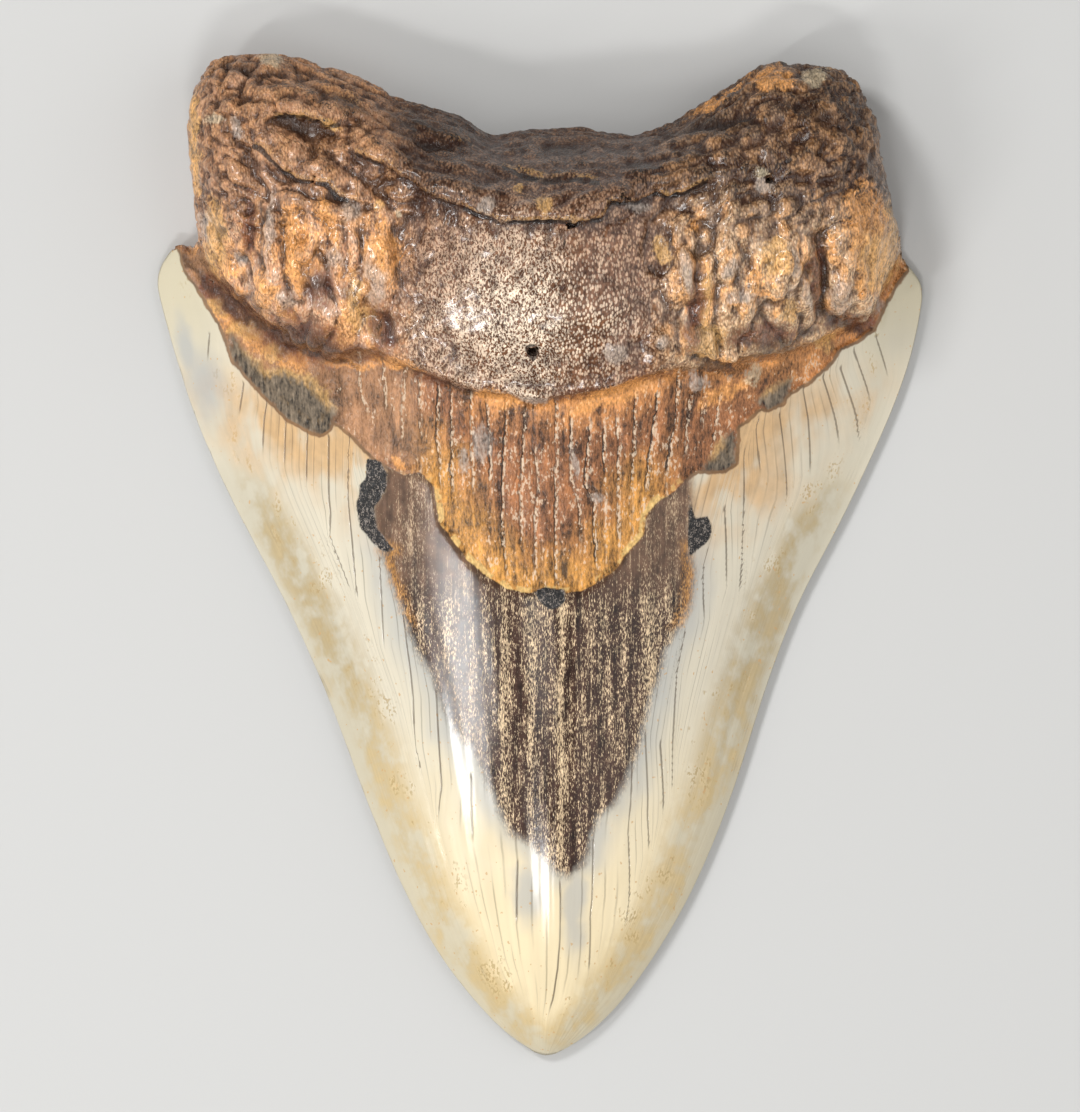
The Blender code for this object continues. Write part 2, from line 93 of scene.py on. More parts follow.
# Edge between the enamel and the root on the labial face.
LABIAL_ROOT_EDGE = [
    (-51, 42.8), (-40, 35.5), (-28, 31), (-14, 28.6), (0, 28), (14, 28.8), (28, 31.4), (40, 35),
    (51.5, 41.2)]
# Dark stained stretch in the middle of the enamel. Its upper part lies under the bourlette.
STAIN = [
    (-21.3, 11.6), (-16.8, 16.4), (16.8, 16.4), (20.5, 10.9), (20.7, 8.7), (20.6, 3.8), (20.7, 0),
    (21.2, -2.2), (20.5, -7.1), (18.9, -10.1), (17, -13.2), (16.3, -16.5), (14.7, -21), (13.6, -26.2),
    (11.8, -30.7), (10, -34.2), (7.6, -36.4), (6.5, -39.8), (5.8, -42.7), (3.9, -44.2), (2.4, -43.5),
    (0.6, -41.6), (-1, -39.8), (-4, -38.2), (-5.4, -34.9), (-7, -31.1), (-9.2, -26.6), (-11.9, -23.9),
    (-13.4, -19.9), (-14.8, -16.1), (-17.1, -12.7), (-19, -7.4), (-20.8, -2.2), (-22, 0.8), (-20.4, 0.8),
    (-22.7, 3.8), (-23.1, 6.7), (-21.5, 9)]
# Patches of shiny black mineral beside the stain.
BLACK_PATCHES = [
    [(-24.1, 13.6), (-22.4, 13.2), (-21.3, 11.6), (-21.5, 9), (-23.1, 6.7), (-22.7, 3.8), (-20.4, 0.8),
     (-21.5, 0.4), (-23.5, 2), (-25, 3.8), (-25.6, 6.7), (-25.2, 9.8), (-24.2, 10.9)],
    [(20.7, 8.7), (21.6, 5.3), (23.4, 5.6), (24, 3.8), (23.4, 2), (21.9, 0.8), (20.7, -0.3), (20.6, 3.8)],
    [(-1.2, -4.6), (0.6, -4.4), (3.5, -4.7), (3.7, -6.3), (1.6, -7.6), (0.2, -6.6)]]
# Slate-grey scraps of thin enamel left on the bourlette.
SLATE_PATCHES = [
    [(-43.2, 30.7), (-41.8, 28.6), (-38.3, 25.8), (-35.5, 26), (-31.9, 24.6), (-29.8, 22.5), (-29, 20.4),
     (-29.2, 17.8), (-30.6, 16.9), (-31.9, 17.4), (-35.4, 19.3), (-39, 23), (-41.1, 25.3), (-42.8, 27.3)],
    [(27, 17.2), (27.3, 12.9), (25.8, 11.8), (23.1, 11.8), (23.7, 13.4), (24.8, 15.3)],
    [(30.8, 21.6), (32.2, 23.1), (35, 24.5), (34.5, 22.5), (33.8, 21.3), (31.8, 20.4)]]
# Half width of the crown at each height along it, as (y, half width, middle).
CROWN_WIDTHS = [
    (-70, 1, 0.8), (-68, 4.6, 0.6), (-62, 10.6, 1.2), (-56.4, 14.8, 1), (-48, 19.6, 1.2), (-34, 25.5, 1.2),
    (-20, 30.2, 1), (-6, 36.1, 0.4), (8, 43.3, 0.1), (19.2, 48.5, 0.3), (30.4, 52.2, 0.5), (37.4, 53.6, 0.1),
    (70, 53.6, 0.1)]
# Cracks of the enamel, each from its top down, in order from left to right.
CRACKS = [
    [(-46.2, 31), (-46.6, 26.5)], [(-41.4, 24), (-42.2, 19)], [(-38.1, 21.4), (-38.8, 13.6)],
    [(-35.4, 19.2), (-35.7, 12)], [(-32.4, 17), (-32.6, 9.5)], [(-29.4, 16.5), (-29.2, 6), (-29.5, -5.6)],
    [(-26.3, 19.2), (-26.2, 2.2), (-25.5, -6.7)], [(-22.2, -0.4), (-21.8, -12.7)],
    [(-19, -8.3), (-18, -16.5), (-17.6, -23.9), (-17.1, -31.5)],
    [(-14.5, -19), (-13.7, -32.2), (-14.3, -37.5)], [(-9.6, -31), (-9.3, -41)],
    [(-3.1, -42.7), (-3.2, -51.7)], [(2.8, -45.8), (2.8, -53.9), (2.5, -57.7), (2, -61), (1.1, -64.4)],
    [(7.4, -39.8), (7, -50.3), (6.7, -58.8)], [(12.9, -28.4), (12.3, -38.2), (11.9, -52.1)],
    [(14.6, -24.8), (15, -36), (15.3, -42)], [(16.8, -26.2), (17.2, -36.7)],
    [(19.1, -10.5), (18.6, -25.9), (18.5, -33.7)], [(22.4, 0.4), (23, -9)], [(25.6, 6.7), (26.1, -4.5)],
    [(28.3, 14.3), (27.9, -6)], [(29.7, 18.8), (30.8, 10.8)], [(33.4, 19.6), (34.6, 8)],
    [(36.7, 23.1), (37.8, 10.8)], [(39.5, 24.9), (42, 15.1)], [(42, 26.2), (45.1, 15.5)],
    [(43.8, 28.8), (46.4, 21.5)], [(47, 30.5), (49, 24.5)]]
# Lengthwise grooves of the bourlette, each from its top down, in order from left to right.
GROOVES = [
    [(-28.4, 23.7), (-28.3, 20.9)],
    [(-25.5, 27.9), (-25.6, 25.2), (-25.3, 22), (-24.6, 20.6), (-24.5, 18.1)],
    [(-22.3, 27.3), (-22.1, 23.8), (-21.8, 18.6)],
    [(-18.9, 27.9), (-19.5, 24.1), (-19.6, 20.6), (-19.5, 15)], [(-17, 24.8), (-17.1, 20.6), (-17, 15)],
    [(-14.4, 23.4), (-14.7, 16.4), (-14.3, 12.5), (-13.9, 8.4)],
    [(-12.7, 24.1), (-12.6, 16.4), (-12.6, 6.9)], [(-9.9, 23.1), (-9.8, 16.4), (-9.5, 7.3)],
    [(-7.8, 22.5), (-7.4, 16.4), (-6.9, 9.4)],
    [(-4.8, 22.3), (-5.2, 15), (-5.6, 9.5), (-5.6, 4.5), (-4.8, -4.1)],
    [(-2.3, 20), (-2.6, 13.6), (-3, 8), (-2.6, -0.4)], [(-0.9, 15), (-0.4, 9.1), (-0.9, 3.8), (-0.9, -3.2)],
    [(2.2, 21.4), (2.1, 10.8), (2, 2.4), (2.1, -5.6)], [(4.2, 19.7), (4.1, 9.9), (5.3, 8), (5.6, 1.3)],
    [(6.9, 17.5), (6.2, 9.9), (7.5, 7.3), (7.8, -2.1)], [(8.8, 17.2), (9, 9.4)],
    [(10.6, 18.6), (11, 15.7), (10.8, 8), (11, 0.3)], [(13.3, 22), (12.9, 11.2), (12.7, 8)],
    [(16.4, 22.1), (15.3, 13.3), (14.5, 8)], [(19.3, 24.5), (18.9, 18.5), (17.4, 10.8)],
    [(21, 22), (20.4, 16.4), (20, 12.2)], [(23, 22.7), (22.4, 16.4)],
    [(25.1, 22.4), (24.2, 16.4), (23.5, 14.3)]]
# Lips of the root's ledges, from left to right, with how far each stands up.
LEDGES = [
    ([(-40.2, 57.4), (-38.2, 56.7), (-37, 55.3), (-35, 53.2), (-33.6, 52.4), (-31.5, 52.1), (-29.5, 51.7),
      (-27.9, 50), (-25.2, 49.1)], 0.5),
    ([(-26, 56.1), (-23.4, 55.2), (-20.7, 54), (-19, 52.6), (-16.8, 51.2), (-15.8, 50.3), (-13.9, 49.7),
      (-10.9, 48.6), (-9.1, 47.6), (-6.6, 46.9), (-5.5, 46.1), (-2.8, 46.5), (1.3, 46.5), (4.6, 46.2),
      (8.3, 46.8), (9.8, 49.1), (13.2, 49.3), (16, 50.8), (17.5, 50.1), (19.6, 50.4), (23.4, 52.4)], 0.7),
    ([(-37.2, 61), (-32.8, 61.2), (-29.5, 59.9), (-27.3, 60.3)], 0.3),
    ([(-13.6, 58.5), (-12.3, 57.8), (-9.5, 57.4)], 0.4),
    ([(-5.6, 54.2), (-2.8, 53.1), (0.7, 52.2), (4.2, 52.5), (8.4, 51.7)], 0.2),
    ([(-30.4, 64.4), (-27.3, 63.6), (-24.9, 62.3)], 0.35)]
# Crevices of the root, with each one's half width and depth.
CREVICES = [
    ([(-49.3, 41.3), (-46.9, 38.1), (-44.1, 36), (-40.6, 33.2), (-37.1, 30.8)], 1.8, 0.45),
    ([(-37.1, 30.8), (-33.6, 28.4), (-28.7, 27.3), (-25.9, 26.5)], 1, 0.5),
    ([(21, 27.6), (23.8, 26.3), (27.3, 25.9), (29.4, 27)], 0.8, 0.9),
    ([(39.5, 33.7), (42, 32.3), (45.1, 31.2), (46.6, 31.8)], 1, 0.9),
    ([(28.7, 29.3), (32.5, 28.6), (36.4, 30.1), (38.9, 31.5)], 1.5, 0.4),
    ([(-37.1, 60.6), (-33.6, 59.8), (-29, 58.5)], 1, 0.7), ([(-16.8, 57.4), (-12.3, 56.8)], 0.8, 0.5),
    ([(1.1, 57), (6.4, 56.6)], 1.1, 0.5), ([(12.6, 54.3), (16.1, 53.9)], 0.9, 0.5),
    ([(17.2, 58.9), (23.8, 59.8), (29.7, 60.8)], 1.2, 0.4), ([(36.1, 62.4), (41.4, 59.8)], 1.3, 0.4),
    ([(-43.1, 68.2), (-38.9, 66.8), (-36.3, 66.8)], 0.9, 0.5),
    ([(-38.8, 49.3), (-38.9, 43), (-38.4, 38.8)], 0.6, 0.5),
    ([(-35.8, 49.3), (-35.7, 41.6), (-34.9, 37.1)], 0.6, 0.4),
    ([(-40.6, 48.3), (-40.3, 43.7), (-41.2, 41.3)], 0.6, 0.45), ([(-31.9, 48.3), (-29, 44.9)], 0.5, 0.4),
    ([(-27.4, 46.5), (-26.5, 42.3), (-27.3, 38.5)], 0.6, 0.5),
    ([(-24.9, 44.7), (-24.4, 40.2), (-25.5, 36)], 0.6, 0.5),
    ([(-33, 39.2), (-31.1, 37.4), (-29, 36.4)], 1.3, 0.5), ([(-21.8, 33.5), (-20.7, 30.4)], 1.1, 0.4),
    ([(17.9, 44.4), (19.3, 38.8), (20.2, 35.3)], 0.6, 0.45),
    ([(22, 43), (22, 38.1), (20.9, 32.5)], 0.7, 0.55),
    ([(24.8, 37.1), (24.2, 32.5), (25.1, 28.7)], 0.6, 0.5),
    ([(39.3, 44.4), (39.6, 38.1), (39.5, 33.7)], 0.7, 0.6), ([(26.7, 31.1), (26.3, 28.3)], 0.6, 0.5),
    ([(38.1, 44.4), (37.2, 39.5), (38.5, 34.6)], 0.5, 0.4), ([(28, 41.3), (26.7, 37.4)], 0.6, 0.35),
    ([(-45.1, 49.3), (-44.5, 43.7), (-44, 41.9)], 0.6, 0.35)]
# Knobs and short ridges of the root, as (x, y, half width, half length, clockwise turn in degrees, rise).
KNOBS = [
    (-28.7, 41.6, 0.8, 1.3, 0, 0.5), (22, 23.9, 1.1, 1.1, 0, 0.7), (29.7, 25.2, 1, 1.3, 0, 0.6),
    (10.6, 28.4, 1.4, 1.4, 0, 0.5), (16.8, 29.7, 1.1, 1.4, 0, 0.7), (20.2, 39.9, 1.1, 3.6, -12, 0.6),
    (-37.5, 45.5, 0.7, 5, 3, 0.6), (-38.4, 37.1, 1.1, 2.8, -8, 0.5), (-42.1, 36.5, 1, 1, 0, 0.4),
    (-35, 35.6, 1.3, 1.4, 20, 0.4), (-41.2, 31.8, 2.1, 1.3, 20, 0.35), (-37.1, 28.4, 1.4, 1.3, 0, 0.35),
    (-45.1, 34.9, 1.1, 1.1, 0, 0.3), (-19.6, 47.7, 0.6, 0.6, 0, 0.4), (-45.1, 61.2, 1.3, 1, 0, 0.35),
    (-37.4, 68.6, 1.7, 1, 15, 0.4), (38.2, 66.8, 1.7, 1.1, 0, 0.4), (34.7, 40.5, 1, 2, -10, 0.4),
    (37.1, 36.3, 0.8, 2, -10, 0.4), (30, 37.9, 1.1, 1.7, -20, 0.35), (23, 35.7, 0.7, 3.4, 8, 0.5),
    (-21.7, 42, 1.7, 3.9, -12, 0.4), (-29.4, 46.3, 1.3, 3.4, -15, 0.4), (-25.6, 34.9, 1, 3.6, 0, 0.35),
    (-33.9, 43, 0.8, 5.6, -3, 0.3), (41.7, 36.7, 1.3, 3.1, 0, 0.4), (45.6, 36, 1.3, 2.5, 15, 0.4),
    (-0.7, 21.4, 2.4, 0.8, 5, 0.35)]
# Patches of colour on the lingual face, as (x, y, half width, half length, clockwise turn in degrees).
TINTS = {
    "rust": [
        (-29.4, 46.3, 1.4, 3.4, -15), (-21.7, 42, 2.2, 4.5, -12), (-33.9, 43, 2.1, 5.9, -5),
        (-43.8, 40.2, 1.7, 1.7, 0), (-38.4, 37.1, 1.1, 2.8, -8), (-42.1, 36.5, 1, 1, 0),
        (-33.7, 27.6, 2, 0.8, 15), (-26.9, 26.7, 3.4, 0.7, 8), (-19.9, 26.5, 3.6, 0.8, 12),
        (40.6, 43.3, 0.8, 2, 0), (30, 37.7, 1.1, 1.7, -20), (45.5, 38.2, 2, 1.7, 30),
        (9.8, 22, 6.4, 1.3, -20), (-5.6, 21.7, 3.4, 1.1, 15), (32.2, 66.2, 3.1, 1.4, 0),
        (24.6, 63.6, 3.4, 0.8, -25), (21.3, 45.6, 0.6, 0.8, 0), (-32.9, 28.7, 1.7, 0.8, 0),
        (-19.6, 12.7, 1.4, 0.6, 45), (25.9, 22.7, 3.6, 1.1, -30), (45.5, 44.5, 3.2, 7, -8),
        (-48.6, 52, 0.9, 9, 0), (-43.6, 33, 2.2, 1.1, 38), (-39.4, 29.6, 2.6, 1.2, 30),
        (-34.6, 26.2, 2.4, 1, 20)],
    # Mostly yellow colour; the patch at (23, 35.7) is also a painted highlight on a lit ridge.
    "ochre": [
        (-25.6, 34.9, 1.1, 3.9, 0), (-45.2, 44.4, 1.3, 5.3, 0), (-45.1, 34.9, 1.4, 1.3, 0),
        (-41.2, 31.8, 2.4, 1.7, 20), (-37.1, 28.4, 1.7, 1.5, 0), (-23.2, 32.3, 1.1, 2.5, -15),
        (16.8, 42.1, 1.1, 2, -20), (23, 35.7, 0.8, 3.4, 8), (23, 30.1, 2.4, 2.8, -10),
        (32.5, 41.3, 2.2, 2.5, 20), (34.7, 34, 1.3, 1.3, 0), (47.3, 41.3, 3.1, 4.2, 10),
        (49.3, 46.5, 1, 4.2, -8), (40, 29.7, 1.7, 1, -10), (-2.9, 50.8, 0.6, 0.6, 0), (0.4, 48.6, 1, 1, 0),
        (-29.4, 59.8, 1.7, 0.6, 20), (-33.6, 60.9, 2, 0.4, 0), (-48.2, 57, 0.8, 8.4, 0),
        (-43.1, 31.8, 0.8, 0.7, 0), (-22.4, 48.9, 0.7, 0.7, 0)],
    # Mostly painted sheen: silvery highlights on knobs, ridges and the bourlette, partly the knobs' grey
    # colour.
    "grey": [
        (-37.2, 45.5, 0.7, 4.8, 3), (-41.9, 41.3, 0.8, 1, 0), (-28.7, 41.6, 1, 1.3, 0),
        (-22.8, 37.7, 1.4, 3.5, -10), (-35, 35.6, 1.3, 1.7, 20), (-26.5, 47.9, 1.3, 1.5, 0),
        (-46.6, 46.1, 0.8, 1.8, 0), (-42, 59.6, 0.8, 1.7, -20), (-7.7, 48.3, 1.7, 1, -20),
        (20.2, 39.9, 1.1, 3.4, -12), (27.7, 35.6, 2, 1, -15), (26.2, 39.5, 1.4, 1.1, -30),
        (35.7, 40.5, 0.7, 1.4, 0), (37.1, 36.3, 0.8, 2.1, -10), (41.7, 36, 1.3, 2.8, 0),
        (47.6, 35.3, 0.7, 1.1, 0), (13.3, 48, 1.5, 0.8, 0), (31.1, 51.4, 1.7, 1.1, 0),
        (22, 23.9, 1.3, 1.3, 0), (10.6, 28.4, 1.4, 1.4, 0), (-0.7, 21.4, 2.2, 0.7, 5),
        (16.8, 29.7, 1, 1.3, 0), (8, 8.3, 1.4, 0.9, 0), (4.9, 13, 0.7, 2.6, -15), (-8, 15.5, 1.3, 2.6, 0),
        (-11, 13.2, 0.7, 1.4, 0)],
    "pale": [
        (38.2, 66.5, 1.7, 1.3, 0), (-37.4, 68.6, 1.5, 1, 15), (-45.1, 60.6, 1.4, 0.8, 0),
        (29.7, 25.2, 1.1, 1.3, 0), (-19.6, 47.7, 0.6, 0.6, 0), (-3.2, -6, 1.3, 1, 40),
        (30.5, 53.1, 1.1, 0.7, 0)],
    # Painted shade in deep gaps and along the upper slope's crevices.
    "dark_shade": [
        (-32.2, 29.7, 6.4, 1.8, 12), (-42.6, 35.1, 3.9, 1.4, 38), (-31.1, 37.7, 1.8, 1.5, 0),
        (-20.7, 31.8, 1.1, 2, 0), (32.5, 28.8, 4.8, 1.3, -8), (43.4, 31.5, 3.6, 1, 12),
        (24.9, 25.9, 4.2, 0.8, 3), (-27, 36.4, 1, 1.1, 0), (3.5, 56.7, 2.8, 0.8, 0),
        (23.1, 59.5, 6.4, 1.1, -8), (38.9, 61.2, 2.8, 1.3, 25), (-33.6, 59.5, 4.5, 1, 15),
        (14.3, 54, 2, 0.7, 0), (-14.6, 57, 2.4, 0.8, 0), (-41.2, 67.6, 2, 0.8, 0),
        (-26.6, 62.3, 5.6, 0.8, 25), (-16.8, 59.8, 5.6, 0.8, 15), (-6, 15.4, 0.6, 1, 0)],
    # Painted shade along the root's lower edge and its crevices.
    "maroon_shade": [
        (-33, 30.2, 7, 2.6, 14), (-42.6, 35.3, 4.2, 1.6, 38), (-30.5, 37.5, 2.2, 2.4, 0),
        (-22, 31.5, 1.6, 3.4, -8), (21.5, 33.5, 1, 5, 5), (31, 30.5, 5, 1.6, -8), (43.8, 32.5, 3.4, 1.3, 10),
        (-46.5, 37.6, 1.6, 1.4, 40), (-40.4, 45.5, 0.8, 4, 0), (38.6, 39, 0.9, 4.5, 0)],
    # Painted shade inside the foramen and the pits.
    "hole_shade": [
        (-1, 28.3, 0.85, 0.8, 40), (3.4, 43.5, 0.3, 0.6, 0), (11.7, 49.4, 0.35, 0.3, 0),
        (12.7, 49.6, 0.3, 0.3, 0), (13.5, 49.4, 0.3, 0.35, 0), (4.2, 46, 0.7, 0.3, 10),
        (31.6, 52.6, 0.8, 0.5, -20), (34.3, 54.7, 0.6, 0.4, -40)],
    # Painted blue-grey shade by the crown's left edge, and painted sheen near the tip.
    "bluish_shade_and_sheen": [
        (-46.9, 24, 2.2, 4.5, -15), (4.9, -48, 1.4, 7, 0), (-1.5, -47, 2.2, 3.5, 0),
        (-49.5, 29, 1.2, 4, -15)],
}
# Bands of ochre specks down the stain, as (x, half width).
STAIN_BANDS = [(-17.5, 1.2), (-4.9, 0.5), (-1.2, 0.7), (3, 0.5), (8.4, 0.25), (15.6, 0.9), (18.6, 0.8)]


def length_property(name, description, default):
    return bpy.props.FloatProperty(
        name=name, description=description, default=default * MM, unit="LENGTH", subtype="DISTANCE")


def colour_property(name, description, default):
    return bpy.props.FloatVectorProperty(
        name=name, description=description, default=default, subtype="COLOR", size=3, min=0, max=1)


class ToothSizes(bpy.types.PropertyGroup):
    """Heights and depths of the tooth's relief."""

    enamel_step: length_property("Enamel step", "How far the enamel stands above the bourlette", 0.45)
    groove_depth: length_property("Groove depth", "Depth of the bourlette's lengthwise grooves", 0.3)
    lobe_lumps: length_property("Lobe lumps", "Height of the lumps on the root's two lobes", 0.8)
    upper_lumps: length_property("Upper lumps", "Height of the lumps on the root's upper slope", 0.85)
    back_lumps: length_property("Back lumps", "Height of the lumps on the root's labial face", 0.3)
    grain_height: length_property("Grain height", "Height of the root's fine grain", 0.11)


class ToothColours(bpy.types.PropertyGroup):
    """Colours of the tooth's parts."""

    cream: colour_property("Cream", "Main colour of the enamel", (0.67, 0.61, 0.48))
    warm_cream: colour_property("Warm cream", "Enamel towards the tip", (0.82, 0.69, 0.45))
    tan: colour_property("Tan", "Band inside the enamel's cutting edges", (0.55, 0.41, 0.20))
    shoulder: colour_property("Shoulder", "Enamel of the crown's shoulders", (0.56, 0.50, 0.33))
    rim: colour_property("Rim", "Outer zone of the cutting edges", (0.52, 0.48, 0.37))
    peach: colour_property("Peach", "Tinge of the enamel beside the bourlette", (0.58, 0.35, 0.15))
    # Painted shade and sheen in blue-grey on the enamel.
    blue_grey: colour_property("Blue-grey", "Cool shade in the enamel", (0.38, 0.40, 0.41))
    hairline: colour_property("Hairline", "Fine cracks in the enamel", (0.09, 0.065, 0.04))
    chocolate: colour_property("Chocolate", "Ground of the stain", (0.052, 0.024, 0.016))
    speck: colour_property("Speck", "Ochre specks in the stain", (0.70, 0.53, 0.33))
    drab: colour_property("Drab", "Upper corners of the stain", (0.13, 0.072, 0.043))
    reddish: colour_property("Reddish brown", "Upper part of the bourlette", (0.25, 0.10, 0.038))
    pinkish: colour_property("Pinkish brown", "Left end of the bourlette", (0.36, 0.19, 0.095))
    gold: colour_property("Gold", "Lower part of the bourlette", (0.44, 0.205, 0.045))
    # Painted highlight on the lit wall beside each groove and on the bourlette's glints.
    bead_highlight: colour_property("Bead", "Crests beside the bourlette's grooves", (0.77, 0.60, 0.43))
    chip: colour_property("Chip", "Broken rim of the enamel round the bourlette", (0.64, 0.43, 0.16))
    stipple: colour_property("Stipple", "Dots of the enamel's tan band", (0.40, 0.27, 0.10))
    # Painted shade on the slope where the enamel steps down.
    bevel: colour_property("Bevel", "Slope from the enamel down to the bourlette", (0.17, 0.085, 0.035))
    black: colour_property("Black", "Shiny mineral patches", (0.013, 0.012, 0.012))
    slate: colour_property("Slate", "Thin scraps of grey-brown enamel", (0.125, 0.095, 0.064))
    root: colour_property("Root", "Ground of the root between its lobes", (0.15, 0.065, 0.03))
    # Partly the grain's colour, partly a painted highlight on its crests.
    root_crest_highlight: colour_property("Root crest", "Crests of the root's grain", (0.60, 0.38, 0.24))
    left_lobe: colour_property("Left lobe", "Ground of the root's left lobe", (0.56, 0.28, 0.145))
    # Partly the grain's colour, partly a painted highlight on its crests.
    left_crest_highlight: colour_property("Left crest", "Crests of the grain on the left lobe", (0.90, 0.57, 0.34))
    right_lobe: colour_property("Right lobe", "Ground of the root's right lobe", (0.46, 0.27, 0.145))
    # Partly the grain's colour, partly a painted highlight on its crests.
    right_crest_highlight: colour_property("Right crest", "Crests of the grain on the right lobe", (0.92, 0.64, 0.38))
    # Painted shade: the upper slope faces away from the lights.
    upper_root_shade: colour_property("Upper root", "Ground of the root's upper slope", (0.045, 0.02, 0.01))
    # Painted shade on the upper slope's crests, which stay paler than its ground as a painted highlight.
    shaded_upper_crest_highlight: colour_property("Upper crest", "Crests of the upper slope's grain", (0.20, 0.095, 0.042))
    # Painted glints on the torus's grain crests.
    painted_glint: colour_property("Glint", "Crests of the grain on the torus", (0.92, 0.75, 0.57))
    # Painted shade along the root's lower edge, in its crevices and in its hollows.
    maroon_shade: colour_property("Maroon", "Shade along the root's lower edge", (0.12, 0.036, 0.017))
    # Painted shade in the root's crevices and creases, in its pits and in the bourlette's grooves.
    crevice: colour_property("Crevice", "Deep gaps of the root", (0.012, 0.007, 0.006))
    rust: colour_property("Rust", "Orange patches of the root", (0.84, 0.38, 0.11))
    ochre: colour_property("Ochre", "Yellow patches of the root", (0.66, 0.38, 0.13))
    # Painted sheen: silvery highlights laid on the root's knobs and lobes, and painted glints on the black
    # mineral's folds.
    grey: colour_property("Grey", "Silvery knobs and sheen of the root", (0.40, 0.34, 0.29))
    pale: colour_property("Pale", "Mineral crumbs on the root", (0.56, 0.47, 0.32))


def smooth_step(low, high, value):
    t = np.clip((value - low) / (high - low), 0.0, 1.0)
    return t * t * (3.0 - 2.0 * t)


def blend(a, b, share):
    return a + (b - a) * share


def distance_to_line(x, y, line):
    nearest = np.full(len(x), np.inf)
    for (ax, ay), (bx, by) in zip(line[:-1], line[1:]):
        dx, dy = bx - ax, by - ay
        share = np.clip(((x - ax) * dx + (y - ay) * dy) / (dx * dx + dy * dy), 0, 1)
        nearest = np.minimum(nearest, np.hypot(x - ax - share * dx, y - ay - share * dy))
    return nearest


def inside(x, y, outline):
    """Whether each point lies inside a closed outline."""
    within = np.zeros(len(x), bool)
    for (ax, ay), (bx, by) in zip(outline, outline[1:] + outline[:1]):
        if ay != by:
            within ^= ((ay > y) != (by > y)) & (x < (bx - ax) * (y - ay) / (by - ay) + ax)
    return within


def depth_inside(x, y, outline):
    """Distance to a closed outline, positive inside."""
    return np.where(inside(x, y, outline), 1, -1) * distance_to_line(x, y, outline + outline[:1])


def height_above(x, y, line):
    """Distance to an open line that runs from left to right, positive on its upper side."""
    far = 120
    upper_side = line + [(far, line[-1][1]), (far, far), (-far, far), (-far, line[0][1])]
    return np.where(inside(x, y, upper_side), 1, -1) * distance_to_line(x, y, line)


def noise_at(points, size, seed, octaves=1):
    """Smooth noise, about -1 to 1, with bumps of this size. Each octave adds bumps of half the size."""
    total = np.zeros(len(points))
    for octave in range(octaves):
        places = points * 2 ** octave / np.broadcast_to(size, 3) + seed + 9.3 * octave
        total += np.array([noise.noise(Vector(place)) for place in places]) / 2 ** octave
    return total


def ellipse_depth(x, y, patch):
    """1 at the middle of a turned ellipse, 0 on its outline and below 0 outside."""
    middle_x, middle_y, half_width, half_length, turn = patch[:5]
    cos, sin = math.cos(math.radians(turn)), math.sin(math.radians(turn))
    dx, dy = x - middle_x, y - middle_y
    return 1.0 - np.hypot((dx * cos - dy * sin) / half_width, (dx * sin + dy * cos) / half_length)


class Surface:
    """Places, facing and neighbours of the tooth's mesh, in millimetres, and the outlines drawn on it.

    Each outline is a signed distance. Root is positive above the root's lower edge, bare above the enamel,
    stain, black and slate inside their patches, and edge inside the cutting edges. Across runs from -1 at
    the crown's left side to 1 at its right side."""

    def __init__(self, mesh):
        count = len(mesh.vertices)
        self.points = np.empty(count * 3)
        mesh.vertices.foreach_get("co", self.points)
        self.points = self.points.reshape(-1, 3) / MM
        normals = np.empty(count * 3, np.float32)
        mesh.vertex_normals.foreach_get("vector", normals)
        self.normals = normals.reshape(-1, 3).astype(float)
        edges = np.empty(len(mesh.edges) * 2, np.int32)
        mesh.edges.foreach_get("vertices", edges)
        self.edges = edges.reshape(-1, 2)
        self.x, self.y = x, y = self.points[:, 0], self.points[:, 1]
        self.lingual = smooth_step(-0.2, 0.25, self.normals[:, 2])
        labial_edge = height_above(x, y, LABIAL_ROOT_EDGE)
        self.root = blend(labial_edge, height_above(x, y, ROOT_EDGE), self.lingual)
        self.bare = blend(labial_edge, height_above(x, y, ENAMEL_TOP), self.lingual)
        self.stain = blend(-5.0, depth_inside(x, y, STAIN), self.lingual)
        self.black = np.max([depth_inside(x, y, patch) for patch in BLACK_PATCHES], axis=0)
        self.slate = np.max([depth_inside(x, y, patch) for patch in SLATE_PATCHES], axis=0)
        heights, half_widths, middles = zip(*CROWN_WIDTHS)
        self.half_width = np.interp(y, heights, half_widths)
        self.across = (x - np.interp(y, heights, middles)) / self.half_width
        slope_of_side = 0.9
        self.edge = (1.0 - np.abs(self.across)) * self.half_width * slope_of_side

    def smoothed(self, values, rounds):
        """Values averaged with their neighbours again and again."""
        degree = np.bincount(self.edges.ravel(), minlength=len(values))
        for _ in range(rounds):
            total = np.zeros_like(values)
            for a, b in (self.edges.T, self.edges.T[::-1]):
                for column in range(values.shape[1]):
                    total[:, column] += np.bincount(a, values[b, column], len(values))
            values = 0.5 * values + 0.5 * total / degree[:, None]
        return values


Lines = namedtuple("Lines", "count distance openness gap")


